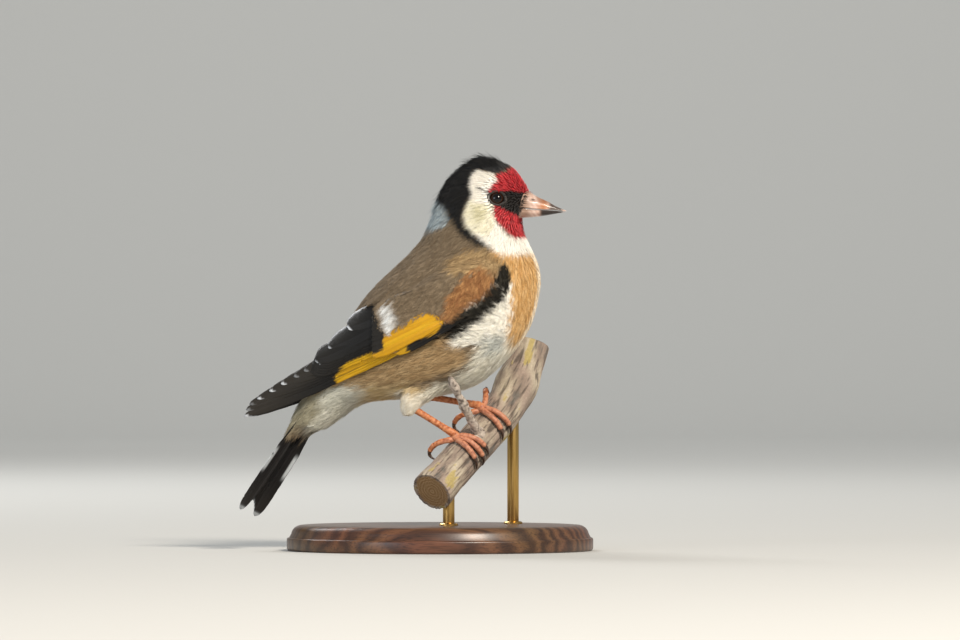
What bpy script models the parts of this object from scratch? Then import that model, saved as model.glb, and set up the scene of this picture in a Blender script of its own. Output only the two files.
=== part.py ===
"""European goldfinch on a cut length of branch, held by a display stand.

A still, life-size model. The bird faces +X and its right side faces -Y. The
origin is the middle of the stand's underside, +Z is up and the unit is the
metre. The body, head and tail are laid out in the bird's own upright plane
(x forward, z up, y to its left) and then turned a little to its right.
"""

import math

import bmesh
import bpy
from mathutils import Matrix, Vector
from mathutils.bvhtree import BVHTree

# Overall sizes
GAP = 0.0003
SLIVER = 0.000004
BODY_YAW = math.radians(-8.0)
RING_SIDES = 28
RING_FULLNESS = 0.88
SPANS_PER_SECTION = 2

# Body sections from the bill to the tail: the back's point (x, z), the
# belly's point (x, z) and half the width there.
BODY_SECTIONS = (
    ((0.0247, 0.0981), (0.0223, 0.0913), 0.0034),
    ((0.0236, 0.1004), (0.0224, 0.0892), 0.0049),
    ((0.0216, 0.1032), (0.0225, 0.0876), 0.0064),
    ((0.0188, 0.1058), (0.0228, 0.0862), 0.0076),
    ((0.0106, 0.1083), (0.0243, 0.0838), 0.0094),
    ((0.0021, 0.1023), (0.0260, 0.0807), 0.0107),
    ((-0.0019, 0.0938), (0.0274, 0.0771), 0.0116),
    ((-0.0052, 0.0851), (0.0277, 0.0719), 0.0137),
    ((-0.0134, 0.0769), (0.0255, 0.0626), 0.0164),
    ((-0.0181, 0.0725), (0.0219, 0.0563), 0.0173),
    ((-0.0222, 0.0675), (0.0167, 0.0503), 0.0171),
    ((-0.0258, 0.0621), (0.0099, 0.0451), 0.0160),
    ((-0.0290, 0.0566), (0.0019, 0.0426), 0.0140),
    ((-0.0321, 0.0516), (-0.0063, 0.0415), 0.0115),
    ((-0.0364, 0.0440), (-0.0198, 0.0407), 0.0080),
    ((-0.0392, 0.0392), (-0.0266, 0.0365), 0.0060),
    ((-0.0406, 0.0350), (-0.0322, 0.0326), 0.0047),
)
# The neck lies between two thin cuts, each from the back to the throat.
NECK_TOP_CUT = ((-0.0030, 0.0930), (0.0275, 0.0845))
NECK_BASE_CUT = ((-0.0065, 0.0865), (0.0300, 0.0760))

# Head
EYE_PLACE = (0.0171, 0.0964)
EYE_RADIUS = 0.0022
EYE_STANDS_OUT = 0.0007
LID_RING_RADIUS = 0.00195
LID_THICKNESS = 0.00042
LID_LENGTHENING = 1.14
LID_LIFT = 0.0001
LID_AXIS = Vector((1, 0, -0.25))
# Bill stations from the base to the tip: x of the ridge, z of the ridge, x and
# z of the mouth line, x and z of the lower edge, half the width.
BILL_STATIONS = (
    (0.0250, 0.0981, 0.0236, 0.0937, 0.0226, 0.0911, 0.0032),
    (0.0271, 0.0968, 0.0262, 0.0934, 0.0256, 0.0913, 0.0027),
    (0.0297, 0.0956, 0.0292, 0.0933, 0.0289, 0.0917, 0.0020),
    (0.0324, 0.0941, 0.0321, 0.0931, 0.0319, 0.0922, 0.0012),
    (0.0350, 0.0930, 0.0347, 0.0928, 0.0341, 0.0926, 0.0003),
)
BILL_SPANS_PER_STATION = 2
BILL_ARCH_SPANS = 8
BILL_ARCH_FULLNESS = 0.8
LOWER_BILL_WIDTH = 0.93
NOSTRIL_PLACE = (0.0257, 0.0961)
NOSTRIL_RADIUS = 0.00045

# Wing, laid out along its own axis: s from the wrist to the tip, h above it.
WING_WRIST = (0.0178, 0.0774)
WING_LENGTH = 0.0820
WING_DROOP = math.radians(29.0)
# Distance of the wing's outer face from the bird's middle plane, along s.
WING_STANDOFF = (0.0128, 0.0164, 0.0178, 0.0172, 0.0152, 0.0120, 0.0084, 0.0054, 0.0036)
# Height of the wing's widest line, and the height over the back at which its
# roll would reach the middle plane, along s.
WING_CREST = (0.0000, -0.0015, -0.0040, -0.0055, -0.0070, -0.0084, -0.0075, -0.0045, -0.0020)
WING_TOP = (0.0245, 0.0220, 0.0180, 0.0152, 0.0122, 0.0085, 0.0066, 0.0055, 0.0048)
WING_LOWER_ROLL = 0.045
# How fast the wing's upper part rolls in, gently at first and then faster.
WING_UPPER_ROLL = (0.45, 0.35)
# The arm's dome: its middle and reach along s and h, and the rings of its
# section as shares of the reach with their height over the wing's surface.
WING_DOME_CENTRE = (0.0165, -0.0012)
WING_DOME_REACH = (0.0185, 0.0088)
WING_DOME_SIDES = 20
WING_DOME = (
    (1.0, -0.0030),
    (1.0, -0.0012),
    (0.90, 0.0005),
    (0.68, 0.0017),
    (0.36, 0.0022),
    (0.08, 0.0024),
)

# Feathers. A vane's outline starts at a share of its width and is full soon
# after; its shaft is a low ridge nearer its outer edge.
VANE_THICKNESS = 0.00055
VANE_ROOT_WIDTH = 0.5
VANE_ROOT_GROWTH = 1.6
VANE_TIP_WIDTH = 0.06
SHAFT_PLACE = -0.25
SHAFT_RIDGE = 0.00012
# Tiers of the folded wing. The rows of each go evenly from its lower (outer)
# feather to its upper (inner) one: roots and tips (s, h), heights of the roots
# and tips over the wing's surface, widths and how much the shafts bow.
WING_TIERS = {
    "primaries": {
        "count": 9,
        "roots": ((0.0225, -0.0070), (0.0225, -0.0022)),
        "tips": (
            (0.0775, -0.0009),
            (0.0823, -0.0008),
            (0.0810, 0.0004),
            (0.0794, 0.0012),
            (0.0767, 0.0014),
            (0.0726, 0.0015),
            (0.0687, 0.0015),
            (0.0644, 0.0014),
            (0.0610, 0.0013),
        ),
        "root_levels": (0.0002, 0.00116),
        "tip_levels": (0.0, 0.00096),
        "widths": (0.0036, 0.0044, 0.0046, 0.0046),
        "bows": (-0.0007, -0.0003),
        "stations": 4,
        "blunt": 0.62,
    },
    "secondaries": {
        "count": 5,
        "roots": ((0.0250, -0.0034), (0.0250, 0.0002)),
        "tips": ((0.0592, 0.0002), (0.0560, 0.0022)),
        "root_levels": (0.0010, 0.00148),
        "tip_levels": (0.0010, 0.00148),
        "widths": (0.0054, 0.0054),
        "bows": (-0.0004, -0.0004),
        "stations": 4,
        "blunt": 0.84,
    },
    "tertials": {
        "count": 3,
        "roots": ((0.0260, 0.0008), (0.0260, 0.0032)),
        "tips": ((0.0560, 0.0018), (0.0515, 0.0030), (0.0438, 0.0052)),
        "root_levels": (0.0016, 0.0020),
        "tip_levels": (0.0013, 0.0017),
        "widths": (0.0060, 0.0060),
        "bows": (0.0, 0.0),
        "stations": 4,
        "blunt": 0.66,
    },
    "primary coverts": {
        "count": 5,
        "roots": ((0.0120, -0.0064), (0.0144, -0.0032)),
        "tips": ((0.0352, -0.0072), (0.0288, -0.0024)),
        "root_levels": (0.0013, 0.0021),
        "tip_levels": (0.0013, 0.0021),
        "widths": (0.0034, 0.0034),
        "bows": (-0.0004, -0.0004),
        "stations": 3,
        "blunt": 0.70,
    },
    "greater coverts": {
        "count": 8,
        "roots": ((0.0190, -0.0058), (0.0210, 0.0040)),
        "tips": ((0.0410, -0.0048), (0.0348, 0.0056)),
        "root_levels": (0.0018, 0.0020, 0.0018),
        "tip_levels": (0.0022, 0.0024, 0.0022),
        "widths": (0.0034, 0.0034),
        "bows": (0.0, 0.0),
        "stations": 3,
        "blunt": 0.70,
    },
}

# Tail, laid out along its axis from the end of the body.
TAIL_ROOT = (-0.0369, 0.0365)
TAIL_DROOP = math.radians(56.5)
TAIL_ROLL = math.radians(34.0)
TAIL_LENGTH = 0.0274
TAIL_FORK = 0.0036
TAIL_PAIRS = 6
TAIL_HOLLOW = 12.0
TAIL_VANE_WIDTH = 0.0040
# How far the innermost feather's root and tip are from the tail's middle, and
# how much farther those of the outermost one are.
TAIL_ROOT_SPREAD = (0.0005, 0.0022)
TAIL_TIP_SPREAD = (0.0007, 0.0027)
# Height of the innermost pair, the step down to the next pair, and the step
# between the two feathers of a pair.
TAIL_LEVELS = (0.0006, -0.00024, 0.00012)
TAIL_BOW = 0.0002
# Feather bases under the tail's coverts: places along the tail with half the
# width and half the depth there.
TAIL_CORE = (
    (-0.0040, 0.0042, 0.0048),
    (0.0010, 0.0042, 0.0040),
    (0.0045, 0.0039, 0.0025),
    (0.0085, 0.0034, 0.0014),
    (0.0125, 0.0028, 0.0008),
)
TAIL_CORE_SIDES = 18

# Perch: a cut length of branch that climbs to the right and away, straight
# under the feet and then bending up. Places along it start at the near foot.
PERCH_DIRECTION = Vector((0.510, 0.650, 0.560)).normalized()
PERCH_POINT = Vector((0.0065, -0.0018, 0.0258))
PERCH_RADIUS = 0.0052
PERCH_FROM = -0.017
PERCH_TO = 0.042
PERCH_BEND_FROM = 0.014
PERCH_BEND = 11.0
PERCH_SIDES = 18
PERCH_SECTIONS = 16
# A knot beyond the feet and the flare at the near cut: place along the branch,
# how much thicker the branch is there and how far that reaches.
PERCH_SWELLINGS = ((0.030, 0.0009, 0.0045), (-0.017, 0.0006, 0.0060))
# Bark is uneven only outside the stretch that the feet hold.
FEET_STRETCH = (-0.008, 0.024)
BARK_BUMP = 0.00022
BARK_STEP = 3.0
BARK_TWIST = 900.0
# Places along the branch that outline the room it leaves for the feet.
ROOM_STATIONS = (-0.012, 0.0, 0.014, 0.018, 0.022, 0.026)
ROOM_SIDES = 48
# Dead twig between the feet: its two ends, and its radius at shares of its length.
SPUR_ROOT = Vector((0.0112, 0.0000, 0.0305))
SPUR_TIP = Vector((0.0028, -0.0152, 0.0473))
SPUR_RADII = (
    (0.0, 0.0018),
    (0.22, 0.00135),
    (0.45, 0.0011),
    (0.62, 0.0014),
    (0.75, 0.0010),
    (0.90, 0.00125),
    (1.0, 0.0008),
)

# Legs: the feathered thigh from inside the belly round the heel, the point
# where the bare shank leaves it, and where the foot stands along the perch.
LEGS = {
    "right": {
        "thigh": (
            (-0.0020, -0.0072, 0.0466),
            (-0.0068, -0.0080, 0.0425),
            (-0.0084, -0.0084, 0.0396),
            (-0.0088, -0.0085, 0.0370),
        ),
        "heel": (-0.0074, -0.0084, 0.0391),
        "station": 0.0,
    },
    "left": {
        "thigh": (
            (0.0026, 0.0070, 0.0490),
            (-0.0022, 0.0080, 0.0452),
            (-0.0040, 0.0083, 0.0425),
            (-0.0044, 0.0084, 0.0402),
        ),
        "heel": (-0.0032, 0.0083, 0.0421),
        "station": 0.0138,
    },
}
THIGH_RADII = (0.0044, 0.0035, 0.0028, 0.0013)
SHANK_RADII = (0.00115, 0.00092, 0.00086, 0.00090, 0.00112)
SHANK_FOOT_LIFT = 0.0007
PAD_RADIUS = 0.00140
PAD_HEIGHT = 0.00125
TOE_RADIUS = 0.00078
TOE_SIDES = 7
TOE_SECTIONS = 7
TOE_THINNING = 0.16
TOE_KNUCKLE = 0.10
# A toe starts inside the pad, at this share of the turn where it comes out.
TOE_START = 0.2
CLAW_ROOT_RADIUS = 0.00054
CLAW_TIP_RADIUS = 0.00009
CLAW_SECTIONS = 5
CLAW_GAP = 1.25 * GAP
# How far a claw goes on straight before it bends, how much farther along the
# perch than its toe it ends, and how high over the bark.
CLAW_ARCH = 0.0014
CLAW_SPLAY = 1.12
CLAW_TIP_HEIGHT = 0.00045
# Toes of each foot: name, how far the toe's end lies along the perch from the
# foot, the turns round the perch in degrees where it starts and ends and where
# its claw ends, and how high it arches off the bark.
TOES = {
    "right": (
        ("inner", 0.0030, 12.0, 78.0, 112.0, 0.0),
        ("middle", 0.0004, 10.0, 92.0, 126.0, 0.0),
        ("outer", -0.0026, 12.0, 80.0, 114.0, 0.0),
        ("hind", -0.0046, -12.0, -55.0, -66.0, 0.0020),
    ),
    "left": (
        ("inner", -0.0024, 12.0, 80.0, 114.0, 0.0),
        ("middle", 0.0012, 10.0, 90.0, 124.0, 0.0),
        ("outer", 0.0078, -3.0, -14.0, -25.0, 0.0017),
        ("hind", -0.0050, -12.0, -56.0, -68.0, 0.0022),
    ),
}

# Stand
BASE_RADIUS = 0.042
BASE_THICKNESS = 0.007
BASE_SIDES = 44
# The base's turned section, from the middle of its top to that of its underside.
BASE_PROFILE = (
    (0.0, BASE_THICKNESS),
    (BASE_RADIUS - 0.0042, BASE_THICKNESS),
    (BASE_RADIUS - 0.0026, BASE_THICKNESS - 0.0004),
    (BASE_RADIUS - 0.0014, BASE_THICKNESS - 0.0014),
    (BASE_RADIUS - 0.0010, BASE_THICKNESS - 0.0028),
    (BASE_RADIUS, BASE_THICKNESS - 0.0034),
    (BASE_RADIUS, 0.0008),
    (BASE_RADIUS - 0.0008, 0.0),
    (0.0, 0.0),
)
ROD_RADIUS = 0.0016
ROD_SIDES = 16
ROD_STATIONS = (-0.008, 0.028)
SOCKET_DEPTH = 0.0035


# Helpers


def clear_scene():
    for obj in list(bpy.data.objects):
        bpy.data.objects.remove(obj, do_unlink=True)


def material(name, colour, roughness, metallic=0.0):
    made = bpy.data.materials.new(name)
    made.use_nodes = True
    shader = made.node_tree.nodes["Principled BSDF"]
    shader.inputs["Base Color"].default_value = (*colour, 1.0)
    shader.inputs["Roughness"].default_value = roughness
    shader.inputs["Metallic"].default_value = metallic
    return made


def new_object(name, bm, collection, finish=None):
    """A mesh object from a bmesh, with its faces turned outwards."""
    bmesh.ops.recalc_face_normals(bm, faces=bm.faces)
    mesh = bpy.data.meshes.new(name)
    bm.to_mesh(mesh)
    bm.free()
    obj = bpy.data.objects.new(name, mesh)
    collection.objects.link(obj)
    if finish:
        mesh.materials.append(finish)
    return obj


def through(rows, share):
    """The value at share 0..1 of a smooth curve through rows of equal length."""
    place = min(max(share, 0.0), 1.0) * (len(rows) - 1)
    low = min(int(place), len(rows) - 2)
    t = place - low
    near = [rows[max(0, min(len(rows) - 1, low + k))] for k in (-1, 0, 1, 2)]
    if isinstance(rows[0], (int, float)):
        return spline_value(near, t)
    return [spline_value([row[i] for row in near], t) for i in range(len(rows[0]))]


def spline_value(p, t):
    return 0.5 * (
        2 * p[1]
        + (p[2] - p[0]) * t
        + (2 * p[0] - 5 * p[1] + 4 * p[2] - p[3]) * t**2
        + (3 * p[1] - p[0] - 3 * p[2] + p[3]) * t**3
    )


def loft(rings):
    """A closed bmesh through rings of points, with a flat cap at each end."""
    bm = bmesh.new()
    made = [[bm.verts.new(point) for point in ring] for ring in rings]
    sides = len(rings[0])
    for first, second in zip(made, made[1:]):
        for i in range(sides):
            j = (i + 1) % sides
            bm.faces.new((first[i], first[j], second[j], second[i]))
    bm.faces.new(list(reversed(made[0])))
    bm.faces.new(made[-1])
    return bm


def between(rows, share):
    """The value at share 0..1 of a straight-lined course through rows."""
    place = share * (len(rows) - 1)
    low = min(int(place), len(rows) - 2)
    t = place - low
    if isinstance(rows[0], (int, float)):
        return rows[low] * (1 - t) + rows[low + 1] * t
    return tuple(a * (1 - t) + b * t for a, b in zip(rows[low], rows[low + 1]))


def tube(path, radii, sides):
    """A closed bmesh along a path of points, with a radius at each."""
    rings = []
    for i, point in enumerate(path):
        ahead = path[min(i + 1, len(path) - 1)] - path[max(i - 1, 0)]
        turn = ahead.to_track_quat("Z", "X").to_matrix()
        rings.append(
            [
                point + turn @ Vector((math.cos(a) * radii[i], math.sin(a) * radii[i], 0))
                for a in (2 * math.pi * k / sides for k in range(sides))
            ]
        )
    return loft(rings)


def evaluated_mesh(obj):
    graph = bpy.context.evaluated_depsgraph_get()
    return bpy.data.meshes.new_from_object(obj.evaluated_get(graph))


def keep_largest(obj):
    """Welds slivers, then drops every closed surface but the largest."""
    bm = bmesh.new()
    bm.from_mesh(obj.data)
    bmesh.ops.remove_doubles(bm, verts=bm.verts, dist=SLIVER)
    bmesh.ops.dissolve_degenerate(bm, dist=SLIVER, edges=bm.edges)
    left = set(bm.verts)
    shells = []
    while left:
        reached = {left.pop()}
        edge = set(reached)
        while edge:
            edge = {e.other_vert(v) for v in edge for e in v.link_edges} - reached
            reached |= edge
        left -= reached
        shells.append(reached)
    if len(shells) > 1:
        shells.sort(key=shell_size, reverse=True)
        dropped = [v for shell in shells[1:] for v in shell]
        bmesh.ops.delete(bm, geom=dropped, context="VERTS")
    bmesh.ops.triangulate(bm, faces=bm.faces)
    bm.to_mesh(obj.data)
    bm.free()


def shell_size(verts):
    """Volume of the box round some vertices."""
    sides = [max(v.co[i] for v in verts) - min(v.co[i] for v in verts) for i in range(3)]
    return sides[0] * sides[1] * sides[2]


def combine(obj, others, operation):
    """Joins the other objects to this one, or cuts them from it, and removes them."""
    group = bpy.data.collections.new("operands")
    bpy.context.scene.collection.children.link(group)
    for other in others:
        for holder in list(other.users_collection):
            holder.objects.unlink(other)
        group.objects.link(other)
    bpy.context.view_layer.update()
    change = obj.modifiers.new("combine", "BOOLEAN")
    change.operation = operation
    change.solver = "EXACT"
    change.operand_type = "COLLECTION"
    change.collection = group
    mesh = evaluated_mesh(obj)
    obj.modifiers.clear()
    finish = obj.data.materials[0] if obj.data.materials else None
    obj.data = mesh
    mesh.materials.clear()
    if finish:
        mesh.materials.append(finish)
    for other in list(group.objects):
        bpy.data.objects.remove(other, do_unlink=True)
    bpy.data.collections.remove(group)
    keep_largest(obj)


def show(obj, collection, finish):
    """Moves a finished piece from the scraps to the model and gives it its material."""
    scraps().objects.unlink(obj)
    collection.objects.link(obj)
    obj.data.materials.clear()
    obj.data.materials.append(finish)


def scraps():
    """The collection of cutters and pieces that a node is joined from."""
    found = bpy.data.collections.get("scraps")
    if found is None:
        found = bpy.data.collections.new("scraps")
        bpy.context.scene.collection.children.link(found)
    return found


def half_of(name, source, point, normal, collection, finish):
    """The part of a closed object on the side that the normal points to."""
    bm = bmesh.new()
    bm.from_mesh(source.data)
    everything = bm.verts[:] + bm.edges[:] + bm.faces[:]
    bmesh.ops.bisect_plane(
        bm, geom=everything, plane_co=point, plane_no=normal, clear_inner=True
    )
    rim = [e for e in bm.edges if e.is_boundary]
    if rim:
        bmesh.ops.edgeloop_fill(bm, edges=rim)
    return new_object(name, bm, collection, finish)


def turn_to_pose(obj):
    """Turns a piece laid out in the bird's upright plane to where it stands."""
    obj.data.transform(Matrix.Rotation(BODY_YAW, 4, "Z"))
    return obj


def mirrored(name, source, collection):
    """A copy of a piece on the bird's other side."""
    bm = bmesh.new()
    bm.from_mesh(source.data)
    bmesh.ops.scale(bm, vec=(1, -1, 1), verts=bm.verts)
    return new_object(name, bm, collection, source.data.materials[0])


# Body


def fuller(share):
    """A sine made fuller, so that a ring's back and belly are broader than an oval's."""
    return math.copysign(abs(share) ** RING_FULLNESS, share)


def body_ring(dorsal, ventral, half_width, grow=0.0):
    """An upright oval ring from the back's point to the belly's."""
    top = Vector((dorsal[0], 0, dorsal[1]))
    foot = Vector((ventral[0], 0, ventral[1]))
    middle = (top + foot) / 2
    reach = (top - foot) / 2
    reach *= 1 + grow / reach.length
    return [
        middle + reach * math.cos(a) + Vector((0, (half_width + grow) * fuller(math.sin(a)), 0))
        for a in (2 * math.pi * k / RING_SIDES for k in range(RING_SIDES))
    ]


def body_solid(grow=0.0):
    rows = [(*d, *v, w) for d, v, w in BODY_SECTIONS]
    count = (len(rows) - 1) * SPANS_PER_SECTION
    rings = []
    for i in range(count + 1):
        dx, dz, vx, vz, w = through(rows, i / count)
        rings.append(body_ring((dx, dz), (vx, vz), w, grow))
    return new_object("body_whole", loft(rings), scraps())


def cut_plane(cut):
    """A point on a cut through the body and the cut's normal, towards the tail."""
    (bx, bz), (tx, tz) = cut
    along = Vector((tx - bx, 0, tz - bz)).normalized()
    return Vector((bx, 0, bz)), Vector((0, 1, 0)).cross(along)


def body_nodes(collection, looks):
    whole = body_solid()
    top, top_normal = cut_plane(NECK_TOP_CUT)
    base, base_normal = cut_plane(NECK_BASE_CUT)
    half_gap = GAP / 2
    head = half_of(
        "head", whole, top - top_normal * half_gap, -top_normal, collection, looks["head"]
    )
    below = half_of(
        "below", whole, top + top_normal * half_gap, top_normal, scraps(), None
    )
    neck = half_of(
        "neck", below, base - base_normal * half_gap, -base_normal, collection, looks["neck"]
    )
    torso = half_of(
        "torso", whole, base + base_normal * half_gap, base_normal, collection, looks["torso"]
    )
    return head, neck, torso


# Head


def surface_at(tree, x, z, side):
    """Where a level line at (x, z) from one side meets a surface, and its normal."""
    point, normal, _, _ = tree.ray_cast(Vector((x, side * 0.1, z)), Vector((0, -side, 0)))
    return point, normal


def ball(name, centre, radius, segments, rings, scale=(1, 1, 1)):
    bm = bmesh.new()
    bmesh.ops.create_uvsphere(bm, u_segments=segments, v_segments=rings, radius=radius)
    bmesh.ops.scale(bm, vec=scale, verts=bm.verts)
    bmesh.ops.translate(bm, vec=centre, verts=bm.verts)
    return new_object(name, bm, scraps())


def lid_ring(centre, normal):
    """An oval ring of lid round an eye."""
    bpy.ops.mesh.primitive_torus_add(
        major_radius=LID_RING_RADIUS,
        minor_radius=LID_THICKNESS,
        major_segments=18,
        minor_segments=6,
    )
    ring = bpy.context.object
    forward = (LID_AXIS - normal * LID_AXIS.dot(normal)).normalized()
    turn = Matrix((forward, normal.cross(forward), normal)).transposed().to_4x4()
    stretch = Matrix.Diagonal((LID_LENGTHENING, 1, 1, 1))
    ring.data.transform(Matrix.Translation(centre) @ turn @ stretch)
    for holder in list(ring.users_collection):
        holder.objects.unlink(ring)
    scraps().objects.link(ring)
    return ring


def head_details(head, collection, looks):
    """Sets the eyes, each in its socket, and raises the lids round them."""
    bm = bmesh.new()
    bm.from_mesh(head.data)
    tree = BVHTree.FromBMesh(bm)
    bm.free()
    lids, sockets, eyes = [], [], []
    for side, name in ((-1, "eye_right"), (1, "eye_left")):
        point, normal = surface_at(tree, *EYE_PLACE, side)
        centre = point - normal * (EYE_RADIUS - EYE_STANDS_OUT)
        lids.append(lid_ring(point + normal * LID_LIFT, normal))
        sockets.append(ball("socket", centre, EYE_RADIUS + GAP, 16, 10))
        eye = ball(name, centre, EYE_RADIUS, 16, 10)
        show(eye, collection, looks["eye"])
        eyes.append(eye)
    combine(head, lids, "UNION")
    combine(head, sockets, "DIFFERENCE")
    return eyes


def bill_half(name, upper, collection, finish):
    """One half of the bill: arched outside and flat along the mouth line."""
    rings = []
    count = (len(BILL_STATIONS) - 1) * BILL_SPANS_PER_STATION
    for i in range(count + 1):
        rx, rz, mx, mz, lx, lz, half = through(BILL_STATIONS, i / count)
        mouth = Vector((mx, 0, mz + (GAP / 2 if upper else -GAP / 2)))
        rim = Vector((rx, 0, rz)) if upper else Vector((lx, 0, lz))
        if not upper:
            half *= LOWER_BILL_WIDTH
        ring = []
        for k in range(BILL_ARCH_SPANS + 1):
            a = math.pi * k / BILL_ARCH_SPANS
            arch = (rim - mouth) * math.sin(a) ** BILL_ARCH_FULLNESS
            ring.append(mouth + arch + Vector((0, half * math.cos(a), 0)))
        rings.append(ring)
    return new_object(name, loft(rings), collection, finish)


def bill(collection, looks):
    upper = bill_half("bill_upper", True, collection, looks["bill"])
    lower = bill_half("bill_lower", False, collection, looks["bill"])
    bm = bmesh.new()
    bm.from_mesh(upper.data)
    tree = BVHTree.FromBMesh(bm)
    bm.free()
    pits = []
    for side in (-1, 1):
        point, _ = surface_at(tree, *NOSTRIL_PLACE, side)
        pits.append(ball("nostril", point, NOSTRIL_RADIUS, 8, 6, (1.5, 1, 0.8)))
    combine(upper, pits, "DIFFERENCE")
    return [upper, lower]


# Vanes


def vane_width(share, blunt):
    """Share of its full width that a feather has at share 0..1 of its length."""
    root = min(1.0, VANE_ROOT_WIDTH + VANE_ROOT_GROWTH * share)
    end = max(0.0, (share - blunt) / (1.0 - blunt))
    rounding = math.sqrt(max(0.0, 1.0 - end**2))
    return root * (VANE_TIP_WIDTH + (1.0 - VANE_TIP_WIDTH) * rounding)


def vane(surface, root, tip, width, bow, levels, stations, blunt, side=1):
    """One feather as a thin closed plate that lies on a surface.

    The surface takes two places and a height and gives a point. Each station
    has an outer edge, a slightly raised shaft and an inner edge.
    """
    length = math.hypot(tip[0] - root[0], tip[1] - root[1])
    along = ((tip[0] - root[0]) / length, (tip[1] - root[1]) / length)
    across = (-along[1], along[0])
    bm = bmesh.new()
    rows = []
    for j in range(stations + 1):
        share = (j / stations) ** 0.8
        sag = bow * 4 * share * (1 - share)
        half = width / 2 * vane_width(share, blunt)
        level = levels[0] + (levels[1] - levels[0]) * share
        row = []
        for lift, ridge in ((0.0, SHAFT_RIDGE), (-VANE_THICKNESS, 0.0)):
            for place, rise in ((-1.0, 0.0), (SHAFT_PLACE * side, ridge), (1.0, 0.0)):
                off = sag + half * place
                s = root[0] + along[0] * length * share + across[0] * off
                h = root[1] + along[1] * length * share + across[1] * off
                row.append(bm.verts.new(surface(s, h, level + lift + rise)))
        rows.append(row)
    order = (0, 1, 2, 5, 4, 3)
    for first, second in zip(rows, rows[1:]):
        for k in range(6):
            a, b = order[k], order[(k + 1) % 6]
            if k in (3, 4):
                bm.faces.new((first[b], second[b], second[a]))
                bm.faces.new((first[b], second[a], first[a]))
            else:
                bm.faces.new((first[a], first[b], second[b]))
                bm.faces.new((first[a], second[b], second[a]))
    for row in (rows[0], rows[-1]):
        bm.faces.new((row[0], row[1], row[4], row[3]))
        bm.faces.new((row[1], row[2], row[5], row[4]))
    return new_object("vane", bm, scraps())


# Wing


def wing_standoff(s, h):
    """Distance of the wing's inner layer from the middle plane at a place on it."""
    share = s / WING_LENGTH
    crest = through(WING_CREST, share)
    widest = through(WING_STANDOFF, share)
    rise = h - crest
    if rise < 0:
        return widest - rise**2 / (2 * WING_LOWER_ROLL)
    rolled = min(1.0, rise / (through(WING_TOP, share) - crest))
    first, last = WING_UPPER_ROLL
    return widest * (1 - first * rolled**2 - last * rolled**4)


def wing_point(s, h, level):
    """A point of the right wing at a place on it and a height over its surface."""
    step = 0.0002
    y = wing_standoff(s, h)
    slope_s = (wing_standoff(s + step, h) - y) / step
    slope_h = (wing_standoff(s, h + step) - y) / step
    along = Vector((-math.cos(WING_DROOP), 0, -math.sin(WING_DROOP)))
    above = Vector((-math.sin(WING_DROOP), 0, math.cos(WING_DROOP)))
    wrist = Vector((WING_WRIST[0], 0, WING_WRIST[1]))
    outward = (Vector((0, -1, 0)) - along * slope_s - above * slope_h).normalized()
    return wrist + along * s + above * h + Vector((0, -y, 0)) + outward * level


def wing_tier(plan):
    """The feathers of one tier of the wing, from the lower one to the upper one."""
    for i in range(plan["count"]):
        share = i / (plan["count"] - 1)
        yield vane(
            wing_point,
            between(plan["roots"], share),
            between(plan["tips"], share),
            between(plan["widths"], share),
            between(plan["bows"], share),
            (between(plan["root_levels"], share), between(plan["tip_levels"], share)),
            plan["stations"],
            plan["blunt"],
        )


def wing_core():
    """The folded arm: a low dome over the wing's front, its foot sunk into the body."""
    rings = []
    for out, level in WING_DOME:
        rings.append(
            [
                wing_point(
                    WING_DOME_CENTRE[0] + WING_DOME_REACH[0] * out * math.cos(a),
                    WING_DOME_CENTRE[1] + WING_DOME_REACH[1] * out * math.sin(a),
                    level,
                )
                for a in (2 * math.pi * k / WING_DOME_SIDES for k in range(WING_DOME_SIDES))
            ]
        )
    return new_object("wing_right", loft(rings), scraps())


def wings(collection, looks):
    right = wing_core()
    feathers = [feather for plan in WING_TIERS.values() for feather in wing_tier(plan)]
    combine(right, feathers, "UNION")
    combine(right, [body_solid(GAP)], "DIFFERENCE")
    show(right, collection, looks["wing"])
    return [right, mirrored("wing_left", right, collection)]


# Tail


def tail_point(s, across, level):
    """A point of the tail at a place along and across it and a height over it."""
    along = Vector((-math.cos(TAIL_DROOP), 0, -math.sin(TAIL_DROOP)))
    back = Vector((-math.sin(TAIL_DROOP), 0, math.cos(TAIL_DROOP)))
    left = Vector((0, 1, 0))
    rolled_left = left * math.cos(TAIL_ROLL) - back * math.sin(TAIL_ROLL)
    rolled_back = back * math.cos(TAIL_ROLL) + left * math.sin(TAIL_ROLL)
    root = Vector((TAIL_ROOT[0], 0, TAIL_ROOT[1]))
    sunk = level - TAIL_HOLLOW * across**2
    return root + along * s + rolled_left * across + rolled_back * sunk


def tail_core():
    """The feather bases under the coverts, a short wedge that the vanes leave."""
    rings = []
    for s, half_width, half_depth in TAIL_CORE:
        rings.append(
            [
                tail_point(s, half_width * math.cos(a), half_depth * math.sin(a))
                for a in (2 * math.pi * k / TAIL_CORE_SIDES for k in range(TAIL_CORE_SIDES))
            ]
        )
    return new_object("tail", loft(rings), scraps())


def rectrices():
    for i in range(TAIL_PAIRS):
        share = i / (TAIL_PAIRS - 1)
        for side in (-1, 1):
            root = (0.0010, side * (TAIL_ROOT_SPREAD[0] + TAIL_ROOT_SPREAD[1] * share))
            tip_s = TAIL_LENGTH + TAIL_FORK * share**1.6
            tip = (tip_s, side * (TAIL_TIP_SPREAD[0] + TAIL_TIP_SPREAD[1] * share))
            level = TAIL_LEVELS[0] + TAIL_LEVELS[1] * i + TAIL_LEVELS[2] * side
            bow = TAIL_BOW * side
            yield vane(
                tail_point, root, tip, TAIL_VANE_WIDTH, bow, (level, level), 4, 0.84, side
            )


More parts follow.
